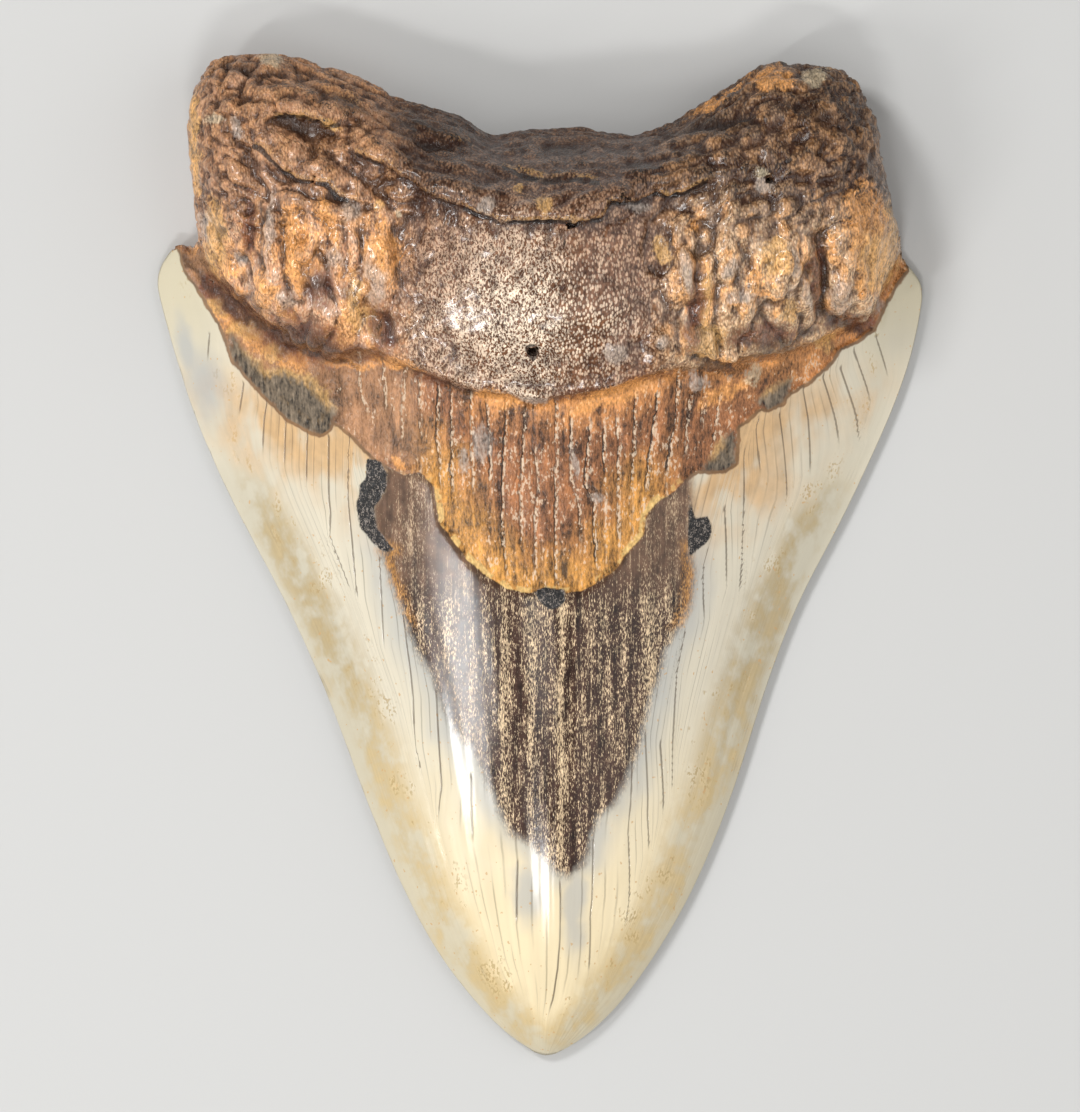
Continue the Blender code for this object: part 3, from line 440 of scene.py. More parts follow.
def lines_field(place, y, lines, low, high, shortest_gap, scale):
    """Fields of roughly parallel lines that run down the tooth and are listed from left to right.

    place says where a point lies between low, at the left, and high, and scale turns it into millimetres.
    The count rises from line to line and is whole on each. The distance is to the nearest line, and the gap
    is between two lines. Openness is 1 along the nearest line and fades at its ends, beyond which a line
    runs on straight."""
    courses, openness = [np.full(len(y), low)], [np.zeros(len(y))]
    for line in lines:
        line_places, line_heights = zip(*reversed(line))
        courses.append(np.interp(y, line_heights, line_places))
        bottom, top = line_heights[0], line_heights[-1]
        openness.append(smooth_step(bottom - 0.5, bottom + 4.0, y)
                        * (1.0 - smooth_step(top - 0.5, top + 1.0, y)))
    courses.append(np.full(len(y), high))
    openness.append(np.zeros(len(y)))
    for left, course in zip(courses[:-1], courses[1:]):
        np.maximum(course, left + shortest_gap, out=course)
    courses, openness = np.array(courses), np.array(openness)
    margin = 1e-6
    place = np.clip(place, courses[0] + margin, courses[-1] - margin)
    before = np.clip((courses <= place).sum(axis=0) - 1, 0, len(courses) - 2)
    each = np.arange(len(y))
    left, right = courses[before, each], courses[before + 1, each]
    count = before + (place - left) / (right - left)
    nearest = np.rint(count).astype(int)
    return Lines(count, np.abs(place - courses[nearest, each]) * scale, openness[nearest, each],
                 (right - left) * scale)


def crack_lines(surface):
    """Fields of the enamel's cracks, which spread with the crown's width."""
    heights, half_widths, middles = zip(*CROWN_WIDTHS)
    cracks = [[((x - np.interp(y, heights, middles)) / np.interp(y, heights, half_widths), y)
               for x, y in crack] for crack in CRACKS]
    return lines_field(surface.across, surface.y, cracks, low=-1.0, high=1.0, shortest_gap=0.012,
                       scale=surface.half_width)


def groove_lines(surface):
    """Fields of the bourlette's grooves."""
    return lines_field(surface.x, surface.y, GROOVES, low=-60.0, high=60.0, shortest_gap=0.4, scale=1.0)


def lumps(surface):
    """Noise whose zero lines are the creases between the root's lumps, and the share of the upper slope.

    The lumps run lengthwise on the lobes, and above them along the slopes that rise to the two ends."""
    points, x, y = surface.points, surface.x, surface.y
    upper = smooth_step(45.0, 52.0, y + 0.08 * np.abs(x))
    lengthwise = noise_at(points, size=(3.2, 8.0, 5.0), seed=3.1, octaves=2)
    slant = 0.4
    slanted = points - np.column_stack([0 * x, slant * np.abs(x), 0 * x])
    crosswise = noise_at(slanted, size=(7.0, 2.6, 2.8), seed=11.7, octaves=2)
    return blend(crosswise, blend(lengthwise, crosswise, upper), surface.lingual), upper


def rounded(crease, fullness):
    """0 along a crease and nearly 1 away from it, so that the lumps between are round."""
    return 1.0 - np.exp(-fullness * np.abs(crease))


def root_relief(surface, sizes):
    """Lumps, ledges and crevices of the root, in millimetres."""
    points, x, y = surface.points, surface.x, surface.y
    torus_half_width, torus_half_length = 19.0, 13.5
    torus = np.exp(-((x - TORUS_X) / torus_half_width) ** 4 - ((y - TORUS_Y) / torus_half_length) ** 4)
    torus *= surface.lingual
    crease, upper = lumps(surface)
    ends = smooth_step(10.0, 24.0, np.abs(x))
    height = blend(sizes.lobe_lumps * (1.0 - 0.92 * torus), sizes.upper_lumps * blend(0.5, 1.0, ends), upper)
    height = blend(sizes.back_lumps, height, surface.lingual) / MM
    height *= 1.0 - 0.7 * smooth_step(44.0, 50.0, np.abs(x))
    billow = 1.3 * rounded(crease, 3.4) - 0.7
    small_crease = noise_at(points, size=(1.6, 3.0, 2.2), seed=8.3, octaves=2)
    details = (0.25 + upper * (0.2 * ends - 0.08)) * rounded(small_crease, 4.0) * (1.0 - torus)
    details += 0.10 * noise_at(points, size=1.3, seed=5.5)
    details += 0.22 * noise_at(points, size=5.0, seed=7.9) * torus
    for lip, rise in LEDGES:
        side = height_above(x, y, lip)
        first_x, last_x = lip[0][0], lip[-1][0]
        within = smooth_step(first_x - 1.5, first_x + 2.5, x)
        within *= 1.0 - smooth_step(last_x - 2.5, last_x + 1.5, x)
        above, below = np.exp(-np.abs(side) / 2.2), -0.9 * np.exp(-np.abs(side) / 0.9)
        details += rise * within * blend(below, above, smooth_step(-0.35, 0.35, side)) * surface.lingual
    for crevice, half_width, depth in CREVICES:
        gap = distance_to_line(x, y, crevice) / half_width
        details -= depth * np.exp(-gap * gap) * surface.lingual
    return billow * height + details


def relief(surface, grooves, sizes):
    """How far each point moves out along its normal, in millimetres."""
    x, y = surface.x, surface.y
    root = smooth_step(-0.1, 0.9, surface.root)
    bare = smooth_step(-0.15, 0.45, surface.bare) * surface.lingual
    slate = smooth_step(-0.1, 0.5, surface.slate) * surface.lingual
    groove_half_width = 0.45
    groove = np.exp(-(grooves.distance / groove_half_width) ** 2) * grooves.openness
    along_grooves = np.column_stack([grooves.count * 1.7, y * 0.12, 0 * y])
    strands = noise_at(along_grooves, size=1.0, seed=2.2, octaves=2)
    left_end = 1.0 - smooth_step(-30.0, -26.0, x)
    drips = left_end * np.abs(noise_at(surface.points, size=(2.2, 3.6, 3.0), seed=6.1, octaves=2))
    step = sizes.enamel_step / MM
    bourlette = -step - sizes.groove_depth / MM * groove + 0.14 * strands + 0.9 * drips
    along_crown = np.column_stack([surface.across * 24.0, y * 0.05, 0 * y])
    streaks = 0.04 * noise_at(along_crown, size=1.0, seed=4.2)
    crown = blend(streaks, bourlette, bare * (1 - slate)) - 0.4 * step * slate * bare
    knobs = sum(knob[-1] * smooth_step(-0.35, 0.75, ellipse_depth(x, y, knob)) for knob in KNOBS)
    return blend(crown, root_relief(surface, sizes), root) + knobs * bare


def paint_fields(surface, cracks, grooves):
    """Values that the material reads, by name."""
    x, y = surface.x, surface.y
    wobble = 0.8
    wobble_x = x + wobble * noise_at(surface.points, size=2.6, seed=21.0, octaves=2)
    wobble_y = y + wobble * noise_at(surface.points, size=2.6, seed=31.0, octaves=2)
    fields = {name: getattr(surface, name)
              for name in ("lingual", "root", "bare", "stain", "black", "slate", "edge")}
    for name, patches in TINTS.items():
        depth = np.max([ellipse_depth(wobble_x, wobble_y, patch) for patch in patches], axis=0)
        fields[name] = blend(-1.0, np.clip(depth, -1.0, 1.0), surface.lingual)
    smooth = surface.smoothed(surface.points, rounds=24)
    fields["raised"] = ((surface.points - smooth) * surface.normals).sum(axis=1)
    # Painted shade that the material lays in the crevices and in the creases between lumps.
    shade = [np.exp(-(distance_to_line(wobble_x, wobble_y, crevice) / (0.7 * half_width)) ** 2)
             for crevice, half_width, _ in CREVICES]
    crease, _ = lumps(surface)
    torus_side, torus_top = 17.0, 46.0
    torus = (np.abs(x - TORUS_X) < torus_side) & (y < torus_top)
    shade.append(np.where(torus, 0.0, 0.75 * np.exp(-9.0 * np.abs(crease)) * (surface.root > 0)))
    fields["crevice"] = np.max(shade, axis=0) * surface.lingual
    far_off = 9.0
    sides = [np.where((x > lip[0][0]) & (x < lip[-1][0]), height_above(x, y, lip), far_off)
             for lip, _ in LEDGES]
    nearest_side = np.array(sides)[np.argmin(np.abs(sides), axis=0), np.arange(len(x))]
    fields["ledge"] = blend(far_off, nearest_side, surface.lingual)
    for name, lines in (("crack", cracks), ("groove", grooves)):
        fields[name + "_count"] = lines.count
        fields[name + "_gap"] = lines.gap
        fields[name + "_open"] = lines.openness
    return fields


def select_only(piece):
    bpy.ops.object.select_all(action="DESELECT")
    piece.select_set(True)
    bpy.context.view_layer.objects.active = piece


def crease_cutting_edges(mesh):
    """Keeps the crown's thin cutting edges crisp in the finer mesh."""
    crown_top, shoulder_side, shoulder_top = 25, 48.5, 44
    bpy.ops.object.mode_set(mode="EDIT")
    bpy.ops.mesh.select_mode(type="EDGE")
    bpy.ops.mesh.select_all(action="DESELECT")
    bpy.ops.mesh.edges_select_sharp(sharpness=math.radians(38))
    bpy.ops.object.mode_set(mode="OBJECT")
    for edge in mesh.edges:
        x, y, _ = (mesh.vertices[edge.vertices[0]].co + mesh.vertices[edge.vertices[1]].co) / 2 / MM
        on_shoulder = abs(x) > shoulder_side and y < shoulder_top
        if y >= crown_top and not on_shoulder:
            edge.select = False
    bpy.ops.object.mode_set(mode="EDIT")
    bpy.ops.transform.edge_crease(value=0.92)
    bpy.ops.object.mode_set(mode="OBJECT")


def raise_relief(mesh, sizes):
    """Moves the points of the finer mesh, never out of the solid's box, and stores the material's fields."""
    surface = Surface(mesh)
    cracks, grooves = crack_lines(surface), groove_lines(surface)
    low, high = (np.array(corner) / MM for corner in CAD_BOX)
    moved = surface.points + relief(surface, grooves, sizes)[:, None] * surface.normals
    surface.points = np.clip(moved, low, high)
    mesh.vertices.foreach_set("co", (surface.points * MM).ravel())
    mesh.update()
    for name, values in paint_fields(surface, cracks, grooves).items():
        layer = mesh.attributes.new(name, "FLOAT", "POINT")
        layer.data.foreach_set("value", np.asarray(values, np.float32))


class TOOTH_OT_tooth(bpy.types.Operator):
    """Model the tooth's surface over its solid and paint it"""

    bl_idname = "tooth.tooth"
    bl_label = "Tooth"

    def execute(self, context):
        scene = context.scene
        piece = bpy.data.objects.new("fossil_tooth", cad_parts["tooth"].data.copy())
        scene.collection.objects.link(piece)
        select_only(piece)
        piece.data.materials.clear()
        bpy.ops.object.mode_set(mode="EDIT")
        bpy.ops.mesh.select_all(action="SELECT")
        bpy.ops.mesh.remove_doubles(threshold=0.001 * MM)
        bpy.ops.mesh.tris_convert_to_quads(face_threshold=math.radians(60), shape_threshold=math.pi)
        bpy.ops.object.mode_set(mode="OBJECT")
        crease_cutting_edges(piece.data)
        subdivide = piece.modifiers.new("Finer mesh", "SUBSURF")
        subdivide.levels = subdivide.render_levels = 2
        bpy.ops.object.modifier_apply(modifier=subdivide.name)
        bpy.ops.object.shade_smooth()
        raise_relief(piece.data, scene.tooth_sizes)
        piece.data.materials.append(tooth_material(scene.tooth_colours, scene.tooth_sizes))
        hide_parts("tooth")
        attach(piece, "root")
        return {"FINISHED"}


class Value:
    """A number that varies over the surface. Python's operators on it add Math nodes."""

    def __init__(self, paint, socket):
        self.paint, self.socket = paint, socket

    def __add__(self, other):
        return self.paint.math("ADD", self, other)

    def __sub__(self, other):
        return self.paint.math("SUBTRACT", self, other)

    def __rsub__(self, other):
        return self.paint.math("SUBTRACT", other, self)

    def __mul__(self, other):
        return self.paint.math("MULTIPLY", self, other)

    def __truediv__(self, other):
        return self.paint.math("DIVIDE", self, other)

    def __rtruediv__(self, other):
        return self.paint.math("DIVIDE", other, self)

    def __abs__(self):
        return self.paint.math("ABSOLUTE", self)

    __radd__, __rmul__ = __add__, __mul__


class Paint:
    """Adds nodes to one material."""

    def __init__(self, name):
        self.material = bpy.data.materials.new(name)
        self.material.use_nodes = True
        self.nodes, self.links = self.material.node_tree.nodes, self.material.node_tree.links
        self.shader = self.nodes["Principled BSDF"]

    def node(self, kind, settings=(), **inputs):
        """A node with these settings, and values or links for its sockets. A socket's name is written with
        underscores, or as i0, i1 and so on for its number."""
        node = self.nodes.new("ShaderNode" + kind)
        for name, setting in dict(settings).items():
            setattr(node, name, setting)
        for name, value in inputs.items():
            by_number = name[0] == "i" and name[1:].isdigit()
            self.feed(node.inputs[int(name[1:]) if by_number else name.replace("_", " ")], value)
        return node

    def feed(self, socket, value):
        if isinstance(value, Value):
            value = value.socket
        if isinstance(value, bpy.types.NodeSocket):
            self.links.new(value, socket)
        elif socket.type == "RGBA":
            socket.default_value = (*value[:3], 1.0)
        else:
            socket.default_value = value

    def finish(self, **inputs):
        """Feeds the shader's own sockets."""
        for name, value in inputs.items():
            self.feed(self.shader.inputs[name.replace("_", " ")], value)
        return self.material

    def math(self, operation, a, b=0.0):
        return Value(self, self.node("Math", {"operation": operation}, i0=a, i1=b).outputs[0])

    def largest(self, a, b):
        return self.math("MAXIMUM", a, b)

    def step(self, low, high, value):
        """0 at low and 1 at high, with a smooth rise between. Low may be the greater of the two."""
        node = self.node("MapRange", {"interpolation_type": "SMOOTHSTEP"}, Value=value,
                         From_Min=min(low, high), From_Max=max(low, high),
                         To_Min=float(low > high), To_Max=float(low < high))
        return Value(self, node.outputs["Result"])

    def window(self, low, high, soft, value):
        """1 between low and high, and 0 further than soft outside them."""
        return self.step(low - soft, low, value) * self.step(high + soft, high, value)

    def field(self, name):
        return Value(self, self.node("Attribute", {"attribute_name": name}).outputs["Fac"])

    def places(self, size=1, turn=0):
        """Object coordinates over size in millimetres, so that a pattern has grains of that size."""
        scale = tuple(1.0 / (MM * length) for length in np.broadcast_to(size, 3))
        coordinates = self.node("TexCoord").outputs["Object"]
        return self.node("Mapping", Vector=coordinates, Scale=scale, Rotation=(0, 0, turn)).outputs[0]

    def axes(self):
        """The three object coordinates in millimetres."""
        split = self.node("SeparateXYZ", Vector=self.places())
        return [Value(self, output) for output in split.outputs]

    def joined(self, x, y):
        return self.node("CombineXYZ", X=x, Y=y).outputs[0]

    def noise(self, vector, detail=2.0, roughness=0.5, distortion=0.0):
        node = self.node("TexNoise", Vector=vector, Scale=1.0, Detail=detail, Roughness=roughness,
                         Distortion=distortion)
        return Value(self, node.outputs["Fac"])

    def cells(self, vector):
        """Distance to the middle of the nearest cell."""
        return Value(self, self.node("TexVoronoi", Vector=vector, Scale=1.0).outputs["Distance"])

    def stripes(self, count):
        """Distance to the nearest whole number, from 0 to 0.5."""
        return self.math("PINGPONG", count, 0.5)

    def rounded(self, count):
        return self.math("ROUND", count)

    def mix(self, share, a, b):
        """Colour a, turning into b by share."""
        node = self.node("Mix", {"data_type": "RGBA"}, Factor=share)
        self.feed(node.inputs[6], a)
        self.feed(node.inputs[7], b)
        return node.outputs[2]

    def blend(self, share, a, b):
        """Number a, turning into b by share."""
        node = self.node("Mix", {"data_type": "FLOAT"}, Factor=share)
        self.feed(node.inputs[2], a)
        self.feed(node.inputs[3], b)
        return Value(self, node.outputs[0])

    def toned(self, colour, value):
        """A colour times a number."""
        vector = self.node("VectorMath", {"operation": "SCALE"}, Vector=colour, Scale=value)
        return vector.outputs["Vector"]


Finish = namedtuple("Finish", "colour roughness height")
Patterns = namedtuple("Patterns", "x y cloud patchy fine")


def shared_patterns(paint):
    """Place in millimetres, and three sizes of noise about 0 that several finishes read."""
    x, y, _ = paint.axes()
    return Patterns(x, y, paint.noise(paint.places((5, 7, 5)), detail=2) - 0.5,
                    paint.noise(paint.places((1.5, 2.1, 1.8)), detail=2, roughness=0.6) - 0.5,
                    paint.noise(paint.places((0.32, 0.6, 0.4)), detail=1) - 0.5)


def layered(paint, share, below, above):
    """Finish below, turning into the one above by share. Heights are in millimetres."""
    return Finish(paint.mix(share, below.colour, above.colour),
                  paint.blend(share, below.roughness, above.roughness),
                  paint.blend(share, below.height, above.height))


def enamel_finish(paint, colours, patterns):
    """Cream enamel with a pale rim, a tan band inside it, a peach tinge, hairlines and cracks, with painted
    blue-grey shade and sheen, and painted shade where it steps down to the bourlette.
    """
    y, cloud, patchy = patterns.y, patterns.cloud, patterns.patchy
    edge, bare, stain = paint.field("edge"), paint.field("bare"), paint.field("stain")
    count, gap = paint.field("crack_count"), paint.field("crack_gap")
    streak = paint.noise(paint.joined(count * 1.6, y / 34), detail=2, roughness=0.6) - 0.5
    fine_streak = paint.noise(paint.joined(count * 6.0, y / 30), detail=1) - 0.5
    cream = paint.mix(paint.step(-15, -55, y + cloud * 20), colours.cream, colours.warm_cream)
    fine_tone = 0.14 * fine_streak * paint.step(3.5, 8.0, edge)
    colour = paint.toned(cream, 1.0 + 0.22 * streak + fine_tone + 0.15 * cloud)
    inside = edge + 6 * cloud + 2 * patchy
    low = paint.step(16, 4, y + cloud * 12)
    colour = paint.mix(paint.step(6.5, 3.0, inside) * (0.35 + 0.35 * low), colour, colours.rim)
    blotch = 0.75 + 0.6 * cloud + 0.4 * patchy + 0.2 * fine_streak + 0.25 * paint.step(-10, -35, y)
    band = low * paint.window(3.0, 5.0, 3.2, inside) * paint.step(-0.22, 0.12, cloud + 0.5 * patchy)
    colour = paint.mix(0.8 * band, colour, paint.toned(colours.tan, blotch))
    stipple = paint.window(4.5, 7.5, 2.0, edge + 3 * cloud)
    stipple = stipple * paint.step(0.02, 0.10, patterns.fine + 0.2 * patchy)
    stipple = stipple * paint.step(0.07, 0.18, cloud + 0.7 * patchy)
    colour = paint.mix(0.6 * stipple, colour, colours.stipple)
    shoulder = paint.step(22, 38, y + cloud * 14)
    colour = paint.mix(0.5 * shoulder, colour, colours.shoulder)
    peach = paint.step(-12, -2, bare + cloud * 10) * paint.step(-0.3, 0.05, cloud + 0.6 * streak)
    peach = peach * paint.step(30, 18, y) * paint.field("lingual")
    peach_tone = 1.0 + 0.4 * fine_streak + 0.6 * patchy
    colour = paint.mix(0.85 * peach, colour, paint.toned(colours.peach, peach_tone))
    # Painted blue-grey shade beside the stain and by the left edge, and painted sheen near the tip.
    cool_shade_and_sheen = paint.largest(paint.step(-0.8, 0.6, paint.field("bluish_shade_and_sheen") + cloud),
                         paint.step(-5.0, -0.2, stain + 4 * cloud) * paint.step(12, -4, y))
    colour = paint.mix(0.62 * cool_shade_and_sheen, colour, colours.blue_grey)
    specks = paint.step(0.21, 0.27, paint.noise(paint.places((0.6, 0.8, 0.6)), detail=1) - 0.5 + 0.1 * cloud)
    colour = paint.mix(0.7 * specks, colour, colours.peach)
    hair_count = count * 3.0 + 0.12 * patchy + 0.4 * streak
    strength = paint.noise(paint.joined(paint.rounded(hair_count) * 7.3, y / 11), detail=1)
    hairs = paint.step(0.12, 0.03, paint.stripes(hair_count)) * paint.step(0.38, 0.62, strength)
    hairs = hairs * paint.step(5.0, 11.0, edge)
    colour = paint.mix(0.4 * hairs, colour, colours.hairline)
    crack = paint.step(0.19, 0.04, paint.stripes(count) * gap - 0.2 * fine_streak)
    crack = crack * paint.step(0.05, 0.6, paint.field("crack_open") + cloud + 0.5 * streak)
    colour = paint.mix(0.65 * crack, colour, colours.hairline)
    # Painted shade: a darker band on the slope where the enamel steps down to the bourlette.
    bevel = paint.window(-0.3, 0.2, 0.25, bare + 0.8 * patchy)
    colour = paint.mix(0.9 * bevel, colour, paint.toned(colours.bevel, 1.0 + 2.0 * patchy))
    roughness = paint.blend(bevel, 0.13 + 0.12 * patchy + 0.08 * cloud, 0.6)
    return Finish(colour, roughness, 0.02 * fine_streak - 0.05 * crack)


def stain_finish(paint, colours, patterns):
    """Chocolate stain under the enamel's gloss, with bands of ochre specks, threads and golden sides."""
    x, y, cloud, patchy, _ = patterns
    grain = paint.noise(paint.places((0.12, 0.55, 0.3)), detail=2, roughness=0.6) - 0.5
    streak = paint.noise(paint.joined(x * 0.9, y / 16), detail=3, roughness=0.6) - 0.5
    threads = paint.noise(paint.places((0.2, 5.0, 3.0)), detail=2, roughness=0.6) - 0.5
    drift = 1.6 * cloud
    bands = None
    for middle, half_width in STAIN_BANDS:
        stripe = paint.step(half_width * 2.2, 0.0, abs(x - middle + drift))
        bands = stripe if bands is None else paint.largest(bands, stripe)
    corner = paint.step(-7, 3, y + 0.15 * abs(x) + drift)
    density = 0.10 * bands + 0.12 * patchy + 0.5 * streak + 0.2 * cloud - 0.05 - 0.08 * corner
    specks = paint.step(-0.02, 0.15, grain + density)
    ground = paint.mix(corner, colours.chocolate, colours.drab)
    ground = paint.toned(ground, 1.0 + 1.8 * patchy + 2.4 * streak)
    tone = 1.0 + 3.0 * grain + 1.5 * streak + 0.8 * patchy
    threads = paint.step(0.06, 0.16, threads + 0.5 * grain + 0.5 * density)
    specks = paint.largest(specks, 0.8 * threads)
    colour = paint.mix((0.74 - 0.36 * corner) * specks, ground, paint.toned(colours.speck, tone))
    side = paint.step(1.8, 0.3, paint.field("stain") + 3.0 * patchy)
    side = side * paint.step(8, 13, abs(x)) * paint.window(-9, 1, 2, y)
    side = side * paint.step(-0.12, 0.06, grain + 0.5 * patchy)
    golden = paint.toned(colours.gold, 1.1 + 2.5 * grain + 1.5 * patchy)
    colour = paint.mix(0.7 * side, colour, golden)
    return Finish(colour, 0.13 + 0.12 * patchy + 0.2 * grain, 0.012 * grain)


def bourlette_finish(paint, colours, patterns):
    """Grooved band of bare dentine, reddish brown above and golden below, with painted glints, a painted
    highlight beside its grooves and painted shade in them.
    """
    x, y, cloud, patchy, fine = patterns
    bare, open_groove = paint.field("bare"), paint.field("groove_open")
    count, gap = paint.field("groove_count"), paint.field("groove_gap")
    strand = paint.noise(paint.joined(count * 2.2, y / 6), detail=2, roughness=0.65) - 0.5
    grain = paint.noise(paint.places((0.26, 0.8, 0.4)), detail=2, roughness=0.7) - 0.5
    low = paint.step(9, 2, bare + cloud * 10) * paint.step(21, 14, abs(x))
    colour = paint.mix(low, colours.reddish, colours.gold)
    top = paint.step(-6.5, -0.5, paint.field("root") + 8 * patchy) * paint.step(-13, -8, x)
    colour = paint.mix(top * (0.32 + 0.8 * cloud), colour, colours.rust)
    left = paint.step(-14, -19, x + 3 * cloud) * paint.step(11, 15, y)
    colour = paint.mix(0.75 * left, colour, colours.pinkish)
    mottle = 3.4 * strand + 2.8 * grain + 2.2 * cloud + 1.6 * patchy
    colour = paint.toned(colour, paint.largest(1.05 + mottle * (1.0 - 0.4 * left), 0.2))
    # Painted glints: pale specks over the bourlette.
    glints = 0.9 * fine + 0.3 * grain + 0.9 * patchy + 0.5 * cloud - 0.06 * left - 0.05 * low
    colour = paint.mix(0.6 * paint.step(0.12, 0.24, glints), colour, colours.bead_highlight)
    deep = paint.step(0.38, 0.6, paint.noise(paint.joined(paint.rounded(count) * 3.7, y / 22), detail=1))
    side = (count - paint.rounded(count)) * gap + 0.9 * patchy + 0.3 * fine
    # Painted highlight on the wall of each groove that faces the light.
    lit_beads = paint.window(0.08, 0.42, 0.14, side)
    lit_beads = lit_beads * paint.step(-0.1, 0.4, open_groove + 2.0 * strand - 0.4 + 0.5 * deep)
    lit_beads = lit_beads * paint.step(-0.08, 0.06, fine + 0.4 * cloud)
    colour = paint.mix(0.68 * lit_beads, colour, colours.bead_highlight)
    width = paint.largest(0.15 + 0.6 * strand + 0.4 * cloud, 0.04)
    # Painted shade in the grooves.
    groove = paint.step(1.0, 0.3, abs(side) / width) * paint.step(0.1, 0.6, open_groove + cloud)
    groove = groove * (0.45 + 0.45 * deep) * (1.0 - 0.5 * left)
    colour = paint.mix(groove, colour, colours.crevice)
    return Finish(colour, 0.28 + 0.3 * grain, 0.14 * strand + 0.12 * grain - 0.14 * groove + 0.06 * lit_beads)


def black_finish(paint, colours):
    """Shiny black mineral with fine folds, whose pale grey crests are painted glints."""
    fold = paint.noise(paint.places((0.32, 0.45, 0.4)), detail=2, roughness=0.6, distortion=1.2) - 0.5
    # Painted glints: pale grey on the folds' crests.
    colour = paint.mix(paint.step(0.05, 0.10, fold) * 0.55, colours.black, colours.grey)
    return Finish(colour, 0.20 + 0.2 * fold, 0.16 * fold)


def slate_finish(paint, colours, patterns):
    """Thin matt scraps of grey-brown enamel, with lengthwise streaks and an ochre upper rim."""
    streak = paint.noise(paint.places((0.5, 2.6, 1.5)), detail=2, roughness=0.6) - 0.5
    colour = paint.toned(colours.slate, 1.0 + 4.0 * streak + 2.0 * patterns.fine + 2.0 * patterns.patchy)
    upper_rim = paint.step(1.6, 0.2, paint.field("slate") + 3.0 * patterns.patchy + 2.0 * streak)
    upper_rim = upper_rim * paint.step(0.8, 2.5, paint.field("bare"))
    colour = paint.mix(0.55 * upper_rim, colour, paint.toned(colours.ochre, 1.0 + 2.0 * patterns.fine))
    return Finish(colour, 0.34 + 0.2 * patterns.fine, 0.07 * patterns.fine + 0.06 * streak)


def root_finish(paint, colours, sizes, patterns):
    """Glossy fossil bone with a fine grain, paler on its crests partly as a painted highlight, and darker in
    its hollows as painted shade.
    """
    x, y, cloud, patchy, fine = patterns
    lingual, raised = paint.field("lingual"), paint.field("raised")
    torus = paint.step(23, 14, abs(x - TORUS_X) + 9 * patchy) * paint.window(23, 45, 5, y + 5 * patchy)
    torus = torus * lingual
    rice = 1.0 - paint.cells(paint.places((0.34, 0.62, 0.48)))
    worms = 0.86 - 6.0 * abs(paint.noise(paint.places((0.44, 0.68, 0.5)), detail=1) - 0.5)
    wormy = torus * paint.step(16, -4, x + 12 * patchy)
    grain = paint.largest(rice - 0.1 * wormy, worms * wormy)
    crest = paint.step(0.38, 0.66, grain + 0.4 * patchy)
    upper = paint.step(43, 56, y + 0.1 * abs(x) + 6 * cloud)
    place = x + 6 * patchy + 40 * cloud * (1.0 - lingual)
    left, right = paint.step(-16, -23, place), paint.step(14, 22, place)
    ground = paint.mix(left, paint.mix(right, colours.root, colours.right_lobe), colours.left_lobe)
    # Painted shade: the upper slope is made darker, as it faces away from the lights.
    ground = paint.mix(upper * (0.95 - 0.4 * left), ground, colours.upper_root_shade)
    # Paler crest colours: partly the grain's colour, partly a painted highlight.
    crests = paint.mix(left, paint.mix(right, colours.root_crest_highlight, colours.right_crest_highlight), colours.left_crest_highlight)
    # Painted shade on the crests of the upper slope too.
    crests = paint.mix(upper * (0.8 - 0.15 * left), crests, colours.shaded_upper_crest_highlight)
    # Painted glints: towards the torus's middle its grain crests turn near white.
    shine = paint.step(26, 2, abs(x - TORUS_X) + abs(y - (TORUS_Y - 1.0)) + 12 * cloud)
    crests = paint.mix(torus * shine, crests, colours.painted_glint)
    rough = 1.0 + 0.9 * upper
    ground = paint.toned(ground, 1.0 + 1.3 * patchy * rough + 2.4 * fine + 0.9 * cloud * rough)
    crests = paint.toned(crests, 1.0 + 1.4 * fine + 0.8 * patchy * rough)
    share = 0.6 + 0.3 * torus * shine - 0.12 * upper
    colour = paint.mix(crest * share, ground, crests)
    blotch = paint.noise(paint.places((2.4, 5.5, 3.0)), detail=2, roughness=0.6) - 0.5
    lobes = (left + right) * (1.0 - 0.8 * upper) * lingual
    orange = paint.step(-0.02, 0.10, blotch + 0.03 * left + 0.25 * patchy) * lobes
    orange_tone = 0.75 + 0.4 * crest + 1.6 * fine + patchy
    colour = paint.mix(0.6 * orange, colour, paint.toned(colours.rust, orange_tone))
    # Painted sheen: silvery grey laid over patches of the lobes.
    silver_sheen = paint.step(0.04, 0.14, cloud + 0.6 * patchy) * lobes * (1.0 - orange)
    colour = paint.mix(0.35 * silver_sheen, colour, paint.toned(colours.grey, 0.8 + 0.5 * crest))
    # Painted shade: darker and redder in the mesh's hollows.
    hollow_shade = paint.step(0.15, -0.45, raised + 0.8 * patchy - 0.08 * upper)
    colour = paint.toned(paint.mix(0.5 * hollow_shade, colour, colours.maroon_shade), 1.12 - 0.72 * hollow_shade)
    # The ledges' lips in ochre: partly their colour, partly a painted highlight on their lit rims.
    lip = paint.window(0.1, 0.4, 0.3, paint.field("ledge") + 0.8 * patchy)
    lip = lip * paint.step(-0.05, 0.15, cloud + fine)
    colour = paint.mix(0.4 * lip, colour, colours.ochre)
    height = sizes.grain_height / MM * (0.5 * crest + 0.6 * grain) + 0.05 * fine + 0.08 * patchy
    return Finish(colour, 0.22 + 0.1 * upper + 0.25 * cloud + 0.2 * patchy, height)


